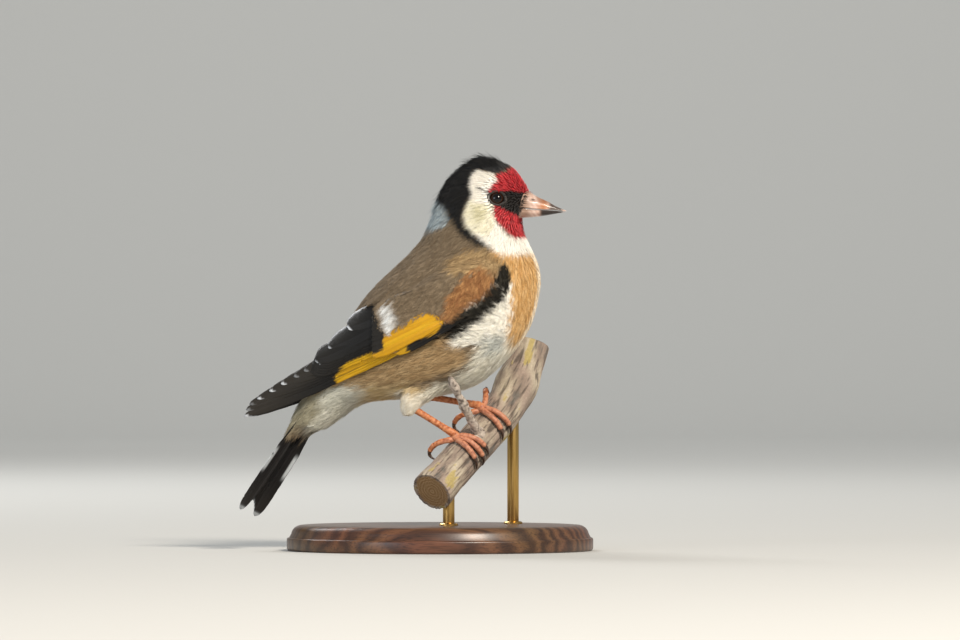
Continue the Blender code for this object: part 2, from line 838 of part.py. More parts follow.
def tail(collection, looks):
    whole = tail_core()
    combine(whole, list(rectrices()), "UNION")
    combine(whole, [body_solid(GAP)], "DIFFERENCE")
    show(whole, collection, looks["tail"])
    return whole


# Perch


PERCH_UP = (Vector((0, 0, 1)) - PERCH_DIRECTION * PERCH_DIRECTION.z).normalized()
PERCH_SIDE = PERCH_DIRECTION.cross(PERCH_UP)


def perch_axis(t):
    """A point of the branch's axis and its direction there."""
    past = max(0.0, t - PERCH_BEND_FROM)
    point = PERCH_POINT + PERCH_DIRECTION * t + PERCH_UP * PERCH_BEND * past**2
    return point, (PERCH_DIRECTION + PERCH_UP * 2 * PERCH_BEND * past).normalized()


def perch_radius(t):
    """Radius of the branch along it: even under the feet, with a knot beyond."""
    return PERCH_RADIUS + sum(
        rise * math.exp(-(((t - place) / reach) ** 2)) for place, rise, reach in PERCH_SWELLINGS
    )


def perch_point(t, turn, height):
    """A point at a place along the perch, a turn round it and a height over it."""
    point, along = perch_axis(t)
    reach = PERCH_SIDE.cross(along) * math.cos(turn) + PERCH_SIDE * math.sin(turn)
    return point + reach * (perch_radius(t) + height)


def cylinder(name, centre, radius, height, sides):
    bm = bmesh.new()
    bmesh.ops.create_cone(
        bm,
        cap_ends=True,
        segments=sides,
        radius1=radius,
        radius2=radius,
        depth=height,
    )
    bmesh.ops.translate(bm, vec=centre, verts=bm.verts)
    return new_object(name, bm, scraps())


def rod_tops():
    """Where each rod of the stand ends, on the perch's axis."""
    return [perch_axis(t)[0] for t in ROD_STATIONS]


def bark_height(t, turn):
    """Unevenness of the bark, none where the feet hold it."""
    if FEET_STRETCH[0] < t < FEET_STRETCH[1]:
        return 0.0
    side = turn * PERCH_SIDES / (2 * math.pi)
    return BARK_BUMP * math.sin(BARK_STEP * side + BARK_TWIST * t)


def perch(collection, looks):
    turns = [2 * math.pi * k / PERCH_SIDES for k in range(PERCH_SIDES)]
    rings = []
    for i in range(PERCH_SECTIONS + 1):
        t = PERCH_FROM + (PERCH_TO - PERCH_FROM) * i / PERCH_SECTIONS
        rings.append([perch_point(t, turn, bark_height(t, turn)) for turn in turns])
    whole = new_object("perch", loft(rings), scraps())
    combine(whole, [spur()], "UNION")
    depth = 4 * PERCH_RADIUS
    holes = [
        cylinder("hole", top - Vector((0, 0, depth / 2)), ROD_RADIUS + GAP, depth, ROD_SIDES)
        for top in rod_tops()
    ]
    combine(whole, holes, "DIFFERENCE")
    show(whole, collection, looks["bark"])


def spur():
    """The dead twig that stands up from the perch between the feet."""
    path = [SPUR_ROOT.lerp(SPUR_TIP, share) for share, _ in SPUR_RADII]
    return new_object("spur", tube(path, [radius for _, radius in SPUR_RADII], 9), scraps())


# Legs


def smooth_tube(name, points, radii, count, sides):
    """A tube through a few points, with radii that follow them."""
    path = [Vector(through(points, i / count)) for i in range(count + 1)]
    widths = [through(radii, i / count) for i in range(count + 1)]
    return new_object(name, tube(path, widths, sides), scraps())


def toe_line(station, plan):
    """Points along a toe, from inside the foot's pad round the perch to its end."""
    _, splay, start, end, _, arch = plan
    line = []
    for i in range(TOE_SECTIONS + 1):
        share = i / TOE_SECTIONS
        turn = math.radians(start * TOE_START + (end - start * TOE_START) * share)
        height = TOE_RADIUS + GAP + arch * math.sin(math.pi / 2 * share)
        line.append(perch_point(station + splay * math.sqrt(share), turn, height))
    return line


def toe(station, plan, grow=0.0):
    """A toe that thins towards its end, with a knuckle at every other section."""
    radii = [
        TOE_RADIUS * (1.0 - TOE_THINNING * i / TOE_SECTIONS + TOE_KNUCKLE * (i % 2)) + grow
        for i in range(TOE_SECTIONS + 1)
    ]
    return new_object("toe", tube(toe_line(station, plan), radii, TOE_SIDES), scraps())


def claw(name, station, plan, collection, finish):
    """A curved claw that goes on from a toe's end and bends down to the bark."""
    line = toe_line(station, plan)
    ahead = (line[-1] - line[-2]).normalized()
    root = line[-1] + ahead * CLAW_GAP
    bend = root + ahead * CLAW_ARCH
    tip = perch_point(station + plan[1] * CLAW_SPLAY, math.radians(plan[4]), CLAW_TIP_HEIGHT)
    shares = [i / CLAW_SECTIONS for i in range(CLAW_SECTIONS + 1)]
    path = [root.lerp(bend, share).lerp(bend.lerp(tip, share), share) for share in shares]
    radii = [CLAW_ROOT_RADIUS * (1 - share) ** 0.8 + CLAW_TIP_RADIUS for share in shares]
    return new_object(name, tube(path, radii, TOE_SIDES), collection, finish)


def leg(side, collection, looks):
    station = LEGS[side]["station"]
    points = [Vector(point) for point in LEGS[side]["thigh"]]
    thigh = smooth_tube(f"leg_{side}_thigh", points, THIGH_RADII, 7, 14)
    thigh_room = smooth_tube("thigh_room", points, [r + GAP for r in THIGH_RADII], 7, 14)
    combine(thigh, [turn_to_pose(body_solid(GAP))], "DIFFERENCE")
    heel = Vector(LEGS[side]["heel"])
    pad_centre = perch_point(station, 0.0, PAD_HEIGHT + GAP)
    shank_points = [heel.lerp(pad_centre + PERCH_UP * SHANK_FOOT_LIFT, k / 4) for k in range(5)]
    shank = smooth_tube(f"leg_{side}_shank", shank_points, SHANK_RADII, 6, 10)
    pad_room = ball("pad_room", pad_centre, PAD_RADIUS + GAP, 12, 8)
    toe_rooms = [toe(station, plan, GAP) for plan in TOES[side]]
    combine(shank, [thigh_room, pad_room, *toe_rooms], "DIFFERENCE")
    foot = ball(f"foot_{side}", pad_centre, PAD_RADIUS, 12, 8)
    combine(foot, [toe(station, plan) for plan in TOES[side]], "UNION")
    combine(foot, [perch_room()], "DIFFERENCE")
    show(thigh, collection, looks["thigh"])
    show(shank, collection, looks["leg"])
    show(foot, collection, looks["leg"])
    for plan in TOES[side]:
        claw(f"claw_{side}_{plan[0]}", station, plan, collection, looks["claw"])


def perch_room():
    """The perch's smooth form under the feet, a gap larger."""
    axis = [perch_axis(t)[0] for t in ROOM_STATIONS]
    room = tube(axis, [PERCH_RADIUS + GAP] * len(axis), ROOM_SIDES)
    return new_object("perch_room", room, scraps())


# Stand


def stand(collection, looks):
    base = turned("stand_base", BASE_PROFILE, BASE_SIDES)
    sockets = []
    for number, top in enumerate(rod_tops(), 1):
        foot = Vector((top.x, top.y, BASE_THICKNESS - SOCKET_DEPTH))
        head = top - Vector((0, 0, GAP))
        height = head.z - foot.z
        rod = cylinder(f"stand_rod_{number}", (foot + head) / 2, ROD_RADIUS, height, ROD_SIDES)
        show(rod, collection, looks["brass"])
        sockets.append(
            cylinder(
                "socket",
                Vector((foot.x, foot.y, foot.z - GAP + SOCKET_DEPTH)),
                ROD_RADIUS + GAP,
                2 * SOCKET_DEPTH,
                ROD_SIDES,
            )
        )
    combine(base, sockets, "DIFFERENCE")
    show(base, collection, looks["wood"])


def turned(name, profile, sides):
    """A closed mesh object turned from a profile about the upright axis."""
    bm = bmesh.new()
    verts = [bm.verts.new((x, 0, z)) for x, z in profile]
    for first, second in zip(verts, verts[1:]):
        bm.edges.new((first, second))
    obj = new_object(name, bm, scraps())
    screw = obj.modifiers.new("turned", "SCREW")
    screw.steps = screw.render_steps = sides
    screw.use_merge_vertices = True
    screw.merge_threshold = 0.00005
    screw.use_normal_calculate = True
    obj.data = evaluated_mesh(obj)
    obj.modifiers.clear()
    return obj


def main():
    clear_scene()
    collection = bpy.data.collections.new("goldfinch")
    bpy.context.scene.collection.children.link(collection)
    looks = {
        "head": material("head_feathers", (0.55, 0.30, 0.24), 0.75),
        "neck": material("neck_feathers", (0.40, 0.28, 0.18), 0.80),
        "torso": material("body_feathers", (0.42, 0.29, 0.18), 0.80),
        "thigh": material("thigh_feathers", (0.60, 0.54, 0.45), 0.85),
        "wing": material("wing_feathers", (0.020, 0.019, 0.018), 0.50),
        "tail": material("tail_feathers", (0.022, 0.021, 0.021), 0.50),
        "bill": material("bill_horn", (0.66, 0.47, 0.38), 0.40),
        "eye": material("eye", (0.006, 0.004, 0.004), 0.05),
        "leg": material("leg_scales", (0.52, 0.20, 0.12), 0.50),
        "claw": material("claw_horn", (0.10, 0.06, 0.045), 0.40),
        "bark": material("bark", (0.32, 0.27, 0.21), 0.90),
        "wood": material("base_wood", (0.16, 0.085, 0.045), 0.40),
        "brass": material("rod_brass", (0.60, 0.44, 0.20), 0.30, 1.0),
    }
    head, neck, torso = body_nodes(collection, looks)
    eyes = head_details(head, collection, looks)
    upright = [head, neck, torso, *eyes, *bill(collection, looks)]
    upright += wings(collection, looks)
    upright.append(tail(collection, looks))
    for obj in upright:
        turn_to_pose(obj)
    perch(collection, looks)
    for side in LEGS:
        leg(side, collection, looks)
    stand(collection, looks)
    for obj in list(scraps().objects):
        bpy.data.objects.remove(obj, do_unlink=True)
    bpy.data.collections.remove(scraps())
    for obj in collection.objects:
        obj.data.shade_smooth()
        obj.data.set_sharp_from_angle(angle=math.radians(40))


main()
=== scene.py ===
"""Looks of a European goldfinch that grips a cut branch on a plain round stand.

Skin, coat, wings, tail, face, legs, bark and stand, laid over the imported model.
Lengths are metres, and names that end in _mm hold millimetres. The bird faces
+X and its right side faces -Y, where the camera stands.
"""

import math

import bmesh
import bpy
import numpy as np
from mathutils import Matrix, Vector, noise
from mathutils.bvhtree import BVHTree


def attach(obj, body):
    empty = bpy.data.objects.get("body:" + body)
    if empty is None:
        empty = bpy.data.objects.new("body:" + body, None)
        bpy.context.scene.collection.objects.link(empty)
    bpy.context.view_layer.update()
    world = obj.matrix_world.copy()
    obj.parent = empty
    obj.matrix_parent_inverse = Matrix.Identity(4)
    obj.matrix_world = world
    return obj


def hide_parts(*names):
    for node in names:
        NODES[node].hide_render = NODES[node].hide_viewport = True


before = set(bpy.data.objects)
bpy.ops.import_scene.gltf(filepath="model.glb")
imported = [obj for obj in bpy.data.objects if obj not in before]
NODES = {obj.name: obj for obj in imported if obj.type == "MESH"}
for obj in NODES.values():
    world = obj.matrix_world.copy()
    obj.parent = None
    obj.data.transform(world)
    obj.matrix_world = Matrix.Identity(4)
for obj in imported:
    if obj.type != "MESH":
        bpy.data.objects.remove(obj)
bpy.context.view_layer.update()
DICE = np.random.default_rng(7)

# The bird is laid out in its own upright plane and then turned towards the camera.
YAW = math.radians(-8.0)
TURN = np.array(Matrix.Rotation(YAW, 3, "Z"))

# The even carrier meshes: their voxels, and how far the model's solids are grown first.
VOXEL = 0.0005
GROWN = 0.00025
PLUMES_GROWN = 0.00015
BARBS_APART_MM = 0.28
# Places tried for feathers on the body and on the wings, and points along a feather.
TRIES_ON_FLESH = 150000
TRIES_ON_WINGS = 90000
STEPS = 5
# A feather's own small square on the bake map.
BAKE_PATCH = 0.003


# Colours and materials


def linear(code):
    """Linear colour of an sRGB hex value."""
    parts = [int(code[i : i + 2], 16) / 255 for i in (1, 3, 5)]
    return [c / 12.92 if c <= 0.04045 else ((c + 0.055) / 1.055) ** 2.4 for c in parts]


def add(tree, kind, settings=None, links=None):
    """A shader node with its settings, socket values and incoming links."""
    made = tree.nodes.new(kind)
    for key, value in (settings or {}).items():
        if isinstance(key, str) and hasattr(made, key):
            setattr(made, key, value)
        else:
            made.inputs[key].default_value = value
    for key, source in (links or {}).items():
        tree.links.new(source, made.inputs[key])
    return made


def finish(name, **values):
    """A material whose shader has the given values, with its tree and shader."""
    made = bpy.data.materials.new(name)
    made.use_nodes = True
    shader = made.node_tree.nodes["Principled BSDF"]
    for key, value in values.items():
        shader.inputs[key.replace("_", " ").title().replace("Ior", "IOR")].default_value = value
    return made, made.node_tree, shader


MULTIPLIED = {"data_type": "RGBA", "blend_type": "MULTIPLY"}


def roughened(tree, shader, scale_per_mm, strength, reach_mm, source=None):
    """Joins a noise bump to a shader: its scale in waves a millimetre, its height."""
    if source is None:
        place = add(tree, "ShaderNodeTexCoord").outputs["Object"]
        waves = {"Scale": scale_per_mm * 1000, "Detail": 4.0, "Roughness": 0.6}
        source = add(tree, "ShaderNodeTexNoise", waves, {"Vector": place}).outputs["Fac"]
    height = {"Strength": strength, "Distance": reach_mm / 1000}
    bump = add(tree, "ShaderNodeBump", height, {"Height": source})
    tree.links.new(bump.outputs["Normal"], shader.inputs["Normal"])


def toned(tree, colour, factor):
    """A colour made lighter or darker by a factor, such as noise or a wave."""
    grey = add(tree, "ShaderNodeCombineColor", {}, {k: factor for k in ("Red", "Green", "Blue")})
    return add(
        tree, "ShaderNodeMix", {**MULTIPLIED, 0: 1.0}, {6: colour, 7: grey.outputs[0]}
    ).outputs[2]


def varied(tree, colour, scale_per_mm, low, high):
    """A colour made lighter and darker by noise in the object's own place."""
    place = add(tree, "ShaderNodeTexCoord").outputs["Object"]
    wave = add(
        tree, "ShaderNodeTexNoise", {"Scale": scale_per_mm * 1000, "Detail": 3.0}, {"Vector": place}
    )
    span = add(
        tree, "ShaderNodeMapRange", {"To Min": low, "To Max": high}, {"Value": wave.outputs["Fac"]}
    )
    return toned(tree, colour, span.outputs[0])


def painted(name, roughness, sheen=0.0, waves=(1.2, 0.88, 1.12), bump=None, coat=0.0, specular=0.5):
    """A material that takes its colour from the piece's own paint, slightly varied."""
    made, tree, shader = finish(
        name, roughness=roughness, sheen_weight=sheen, sheen_roughness=0.5, coat_weight=coat,
        specular_ior_level=specular
    )
    paint = add(tree, "ShaderNodeAttribute", {"attribute_name": "paint"}).outputs["Color"]
    tree.links.new(varied(tree, paint, *waves), shader.inputs["Base Color"])
    if bump:
        roughened(tree, shader, *bump)
    return made


def make_finishes():
    """Every material by a short name."""
    looks = {}
    # Contour feathers, loose keratin barbs: matt, with a soft bloom where light grazes them.
    looks["plumage"] = painted(
        "contour_feathers", 0.8, sheen=0.1, waves=(0.5, 0.92, 1.08), specular=0.14
    )
    # Skin under the feathers: matt, in the colours of the feathers over it.
    looks["skin"] = painted("feathered_skin", 0.9, specular=0.15, bump=(2.5, 0.5, 0.2))
    # Flight feathers, zipped keratin vanes: satin, with barbs as fine slanting lines.
    looks["vane"] = flight_vane()
    # Red face feathers, stiff waxy barbs: a little glossier than the rest.
    looks["face"] = painted("face_bristles", 0.5, sheen=0.05, specular=0.45)
    # Bill horn, thin keratin over bone: satin with faint lengthwise fibres.
    looks["bill"] = painted(
        "bill_horn", 0.36, waves=(1.6, 0.9, 1.08), bump=(3.0, 0.25, 0.08), coat=0.15
    )
    # Shank and toe scales, dry keratin plates: satin ridges with dull creases.
    looks["scale"] = painted("leg_scales", 0.48, waves=(2.0, 0.82, 1.15), bump=(4.0, 0.35, 0.08))
    # Claw horn: dark, smooth and glossier towards its tip.
    looks["claw"] = painted("claw_horn", 0.3, waves=(2.0, 0.85, 1.1))
    # Eyelid skin: dark, fine-grained and dull.
    looks["lid"] = painted("eyelid_skin", 0.55, waves=(4.0, 0.7, 1.2), bump=(6.0, 0.5, 0.06))
    # Bark, dry and weathered: rough, cracked, with powdery lichen.
    looks["bark"] = painted(
        "dry_bark", 0.88, waves=(1.8, 0.72, 1.2), bump=(3.2, 0.8, 0.22), specular=0.25
    )
    looks["eye"] = eyeball()
    looks["wood"] = walnut()
    looks["brass"] = drawn_brass()
    looks["floor"] = paper()
    return looks


def flight_vane():
    """Black keratin vanes whose slanting barbs catch the light in fine lines, painted into the
    colour as light and shade and raised as a bump.
    """
    made, tree, shader = finish(
        "flight_feather_vanes", roughness=0.42, specular_ior_level=0.28, sheen_weight=0.05
    )
    paint = add(tree, "ShaderNodeAttribute", {"attribute_name": "paint"}).outputs["Color"]
    barb = add(tree, "ShaderNodeAttribute", {"attribute_name": "barb"}).outputs["Fac"]
    # The barb attribute counts millimetres along the shaft, slanted outwards. Real
    # barbs are 0.05 mm apart; they are drawn wider apart so that they show.
    turn = add(
        tree, "ShaderNodeMath", {"operation": "MULTIPLY", 1: 2 * math.pi / BARBS_APART_MM},
        {0: barb}
    )
    wave = add(tree, "ShaderNodeMath", {"operation": "SINE"}, {0: turn.outputs[0]})
    reach = {"From Min": -1.0, "From Max": 1.0, "To Min": 0.86, "To Max": 1.1}
    span = add(tree, "ShaderNodeMapRange", reach, {"Value": wave.outputs[0]})
    # The barbs' light and shade is painted into the colour as lighter and darker lines.
    lined = toned(tree, paint, span.outputs[0])
    tree.links.new(varied(tree, lined, 0.9, 0.9, 1.1), shader.inputs["Base Color"])
    roughened(tree, shader, 0, 0.5, 0.05, source=wave.outputs[0])
    return made


def eyeball():
    """Wet cornea over a dark brown iris and a black pupil, a mirror for the lights."""
    made, tree, shader = finish(
        "eye_cornea", roughness=0.04, ior=1.376, specular_ior_level=0.4, coat_weight=0.2,
        coat_roughness=0.02
    )
    paint = add(tree, "ShaderNodeAttribute", {"attribute_name": "paint"}).outputs["Color"]
    tree.links.new(paint, shader.inputs["Base Color"])
    return made


def ramped(tree, source, stops):
    """A colour ramp over a value, from two stops of a place and a hex colour."""
    ramp = add(tree, "ShaderNodeValToRGB", {}, {"Fac": source})
    for element, (place, code) in zip(ramp.color_ramp.elements, stops):
        element.position = place
        element.color = (*linear(code), 1)
    return ramp.outputs[0]


def walnut():
    """Oiled walnut, turned and sanded: brown bands 2 mm apart with darker pores."""
    made, tree, shader = finish(
        "oiled_walnut", roughness=0.38, coat_weight=0.2, coat_roughness=0.25
    )
    place = add(tree, "ShaderNodeTexCoord").outputs["Object"]
    laid = add(
        tree, "ShaderNodeMapping", {"Scale": (0.22, 1.0, 1.0), "Rotation": (0, 0, 0.3)},
        {"Vector": place}
    )
    drift = add(
        tree, "ShaderNodeTexNoise", {"Scale": 60.0, "Detail": 5.0}, {"Vector": laid.outputs[0]}
    )
    bands = {
        "wave_type": "BANDS", "bands_direction": "Y", "Scale": 80.0, "Distortion": 9.0,
        "Detail": 3.0, "Detail Scale": 1.4
    }
    band = add(tree, "ShaderNodeTexWave", bands, {"Vector": laid.outputs[0]})
    pore_place = add(tree, "ShaderNodeMapping", {"Scale": (0.05, 1.0, 1.0)}, {"Vector": place})
    pores = add(
        tree, "ShaderNodeTexNoise", {"Scale": 2600.0, "Detail": 2.0},
        {"Vector": pore_place.outputs[0]}
    )
    wood = ramped(tree, band.outputs["Fac"], ((0.0, "#4A2E1C"), (1.0, "#7A5335")))
    tint = add(tree, "ShaderNodeMix", {**MULTIPLIED, 0: 0.55}, {6: wood, 7: drift.outputs["Color"]})
    reach = {"From Min": 0.35, "From Max": 0.5, "To Min": 0.55, "To Max": 1.0}
    dark = add(tree, "ShaderNodeMapRange", reach, {"Value": pores.outputs["Fac"]})
    tree.links.new(toned(tree, tint.outputs[2], dark.outputs[0]), shader.inputs["Base Color"])
    roughened(tree, shader, 0, 0.15, 0.05, source=pores.outputs["Fac"])
    return made


def drawn_brass():
    """Brass rod, drawn and lightly brushed: warm, satin, with fine lengthwise lines."""
    made, tree, shader = finish("drawn_brass", roughness=0.3, metallic=1.0)
    place = add(tree, "ShaderNodeTexCoord").outputs["Object"]
    laid = add(tree, "ShaderNodeMapping", {"Scale": (1.0, 1.0, 0.03)}, {"Vector": place})
    lines = add(
        tree, "ShaderNodeTexNoise", {"Scale": 3500.0, "Detail": 2.0}, {"Vector": laid.outputs[0]}
    )
    warm = ramped(tree, lines.outputs["Fac"], ((0.3, "#B08A4A"), (0.7, "#D2AE6A")))
    tree.links.new(warm, shader.inputs["Base Color"])
    roughened(tree, shader, 0, 0.1, 0.02, source=lines.outputs["Fac"])
    return made


def paper():
    """Pale seamless backdrop paper: matt, even and slightly warm."""
    made, tree, shader = finish(
        "backdrop_paper", roughness=0.95, base_color=(*linear("#C6C6C2"), 1), specular_ior_level=0.1
    )
    roughened(tree, shader, 0.4, 0.05, 0.05)
    return made


# Meshes


def joined_mesh(name, points, faces, look, paint, bake, extra=None, body="root"):
    """A piece from arrays of points and faces, with its paint and bake map. Plates of
    four-sided faces are shaded smooth. Coat feathers are shaded flat, because rounding
    such thin closed forms would make each of them glint."""
    points = np.asarray(points, np.float32)
    faces = np.asarray(faces, np.int32)
    mesh = bpy.data.meshes.new(name)
    mesh.vertices.add(len(points))
    mesh.vertices.foreach_set("co", points.ravel())
    sides = faces.shape[1]
    mesh.loops.add(faces.size)
    mesh.loops.foreach_set("vertex_index", faces.ravel())
    mesh.polygons.add(len(faces))
    mesh.polygons.foreach_set("loop_start", np.arange(0, faces.size, sides, dtype=np.int32))
    mesh.update(calc_edges=True)
    if sides == 4:
        mesh.shade_smooth()
    else:
        mesh.shade_flat()
    layer = mesh.uv_layers.new(name="OFBake")
    layer.data.foreach_set("uv", np.asarray(bake, np.float32)[faces.ravel()].ravel())
    paint_mesh(mesh, paint)
    for key, values in (extra or {}).items():
        field = mesh.attributes.new(key, "FLOAT", "POINT")
        field.data.foreach_set("value", np.asarray(values, np.float32))
    return show(name, mesh, look, body)


def paint_mesh(mesh, paint):
    """Stores linear colours, one a point, as the mesh's paint."""
    colours = np.ones((len(mesh.vertices), 4), np.float32)
    colours[:, :3] = paint
    mesh.color_attributes.new(
        "paint", "FLOAT_COLOR", "POINT"
    ).data.foreach_set("color", colours.ravel())


def show(name, mesh, look, body="root"):
    """Puts a mesh in the scene as a piece that rides with the model."""
    piece = bpy.data.objects.new(name, mesh)
    bpy.context.scene.collection.objects.link(piece)
    mesh.materials.clear()
    mesh.materials.append(look)
    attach(piece, body)
    return piece


def places(mesh):
    """The points of a mesh as an array."""
    found = np.zeros(len(mesh.vertices) * 3, np.float32)
    mesh.vertices.foreach_get("co", found)
    return found.reshape(-1, 3).astype(float)


def moved(mesh, points):
    """Puts the points of a mesh at new places."""
    mesh.vertices.foreach_set("co", points.astype(np.float32).ravel())
    mesh.update()


def from_bmesh(bm, name):
    """A smooth mesh from a bmesh, with its faces turned outwards."""
    bmesh.ops.recalc_face_normals(bm, faces=bm.faces)
    mesh = bpy.data.meshes.new(name)
    bm.to_mesh(mesh)
    bm.free()
    mesh.shade_smooth()
    return mesh


def wrapped(rows, columns, where):
    """A closed skin from a grid that is rolled round: where gives the points for
    shares along it and round it. Coinciding edges and poles are merged."""
    bm = bmesh.new()
    bmesh.ops.create_grid(bm, x_segments=rows, y_segments=columns, size=0.5)
    laid = np.array([v.co[:2] for v in bm.verts]) + 0.5
    for v, place in zip(bm.verts, where(laid[:, 0], laid[:, 1])):
        v.co = place
    bmesh.ops.remove_doubles(bm, verts=bm.verts, dist=2e-7)
    rim = [e for e in bm.edges if e.is_boundary]
    if rim:
        bmesh.ops.holes_fill(bm, edges=rim, sides=0)
    bmesh.ops.dissolve_degenerate(bm, dist=1e-7, edges=bm.edges)
    bmesh.ops.recalc_face_normals(bm, faces=bm.faces)
    return bm


def joined(parts):
    """One bmesh from several, which are freed."""
    whole = bmesh.new()
    for part in parts:
        held = bpy.data.meshes.new("held")
        part.to_mesh(held)
        part.free()
        whole.from_mesh(held)
        bpy.data.meshes.remove(held)
    return whole


def along_path(path, radii, squash=1.0):
    """Points of a tube round a path: shares along and round it give the places."""
    path = np.asarray(path, float)
    ahead = np.gradient(path, axis=0)
    ahead /= np.linalg.norm(ahead, axis=1, keepdims=True)
    side = np.cross(ahead, (0.0, 0.0, 1.0))
    side /= np.maximum(np.linalg.norm(side, axis=1, keepdims=True), 1e-9)
    top = np.cross(side, ahead)
    count = len(path) - 1

    def where(u, w, grow=0.0):
        place = u * count
        low = np.minimum(place.astype(int), count - 1)
        t = (place - low)[:, None]
        turn = (2 * math.pi * w)[:, None]
        middle = path[low] * (1 - t) + path[low + 1] * t
        x = side[low] * (1 - t) + side[low + 1] * t
        y = top[low] * (1 - t) + top[low + 1] * t
        reach = (np.asarray(course(radii, u)) + grow)[:, None]
        return middle + (x * np.cos(turn) + y * np.sin(turn) * squash) * reach

    return where


# Smooth courses


def course(rows, share):
    """Values at shares 0 to 1 of a smooth curve through evenly spaced rows."""
    rows = np.asarray(rows, float)
    place = np.clip(np.asarray(share, float), 0, 1) * (len(rows) - 1)
    low = np.minimum(place.astype(int), len(rows) - 2)
    t = place - low
    if rows.ndim > 1:
        t = t[..., None]
    p = [rows[np.clip(low + k, 0, len(rows) - 1)] for k in (-1, 0, 1, 2)]
    return 0.5 * (
        2 * p[1]
        + (p[2] - p[0]) * t
        + (2 * p[0] - 5 * p[1] + 4 * p[2] - p[3]) * t**2
        + (3 * p[1] - p[0] - 3 * p[2] + p[3]) * t**3
    )


def straight(rows, share):
    """The value at share 0 to 1 of a straight-lined course through rows."""
    rows = np.asarray(rows, float)
    at = np.linspace(0, 1, len(rows))
    if rows.ndim == 1:
        return np.interp(share, at, rows)
    return np.array([np.interp(share, at, rows[:, i]) for i in range(rows.shape[1])])


def smooth(x):
    """A soft step from 0 to 1."""
    x = np.clip(x, 0, 1)
    return x * x * (3 - 2 * x)


def units(vectors):
    """Vectors made a unit long."""
    return vectors / np.maximum(np.linalg.norm(vectors, axis=-1, keepdims=True), 1e-12)


# Side view


def side_view(points):
    """Millimetres forward and up of places seen from the bird's right, either side alike."""
    upright = points @ TURN
    upright = np.stack([upright[..., 0], -np.abs(upright[..., 1]), upright[..., 2]], axis=-1)
    turned = upright @ TURN.T
    return np.stack([turned[..., 0], turned[..., 2]], axis=-1) * 1000


def inside(view, outline):
    """How far inside an outline side-view places lie, in mm; negative outside it."""
    x, z = view[..., 0], view[..., 1]
    nearest = np.full(x.shape, 1e9)
    odd = np.zeros(x.shape, bool)
    ring = list(outline)
    for (ax, az), (bx, bz) in zip(ring, ring[1:] + ring[:1]):
        ex, ez = bx - ax, bz - az
        t = np.clip(((x - ax) * ex + (z - az) * ez) / (ex * ex + ez * ez), 0, 1)
        nearest = np.minimum(nearest, (x - ax - t * ex) ** 2 + (z - az - t * ez) ** 2)
        rise = ez if abs(ez) > 1e-9 else 1e-9
        odd ^= ((az > z) != (bz > z)) & (x < (z - az) * ex / rise + ax)
    return np.where(odd, 1.0, -1.0) * np.sqrt(nearest)
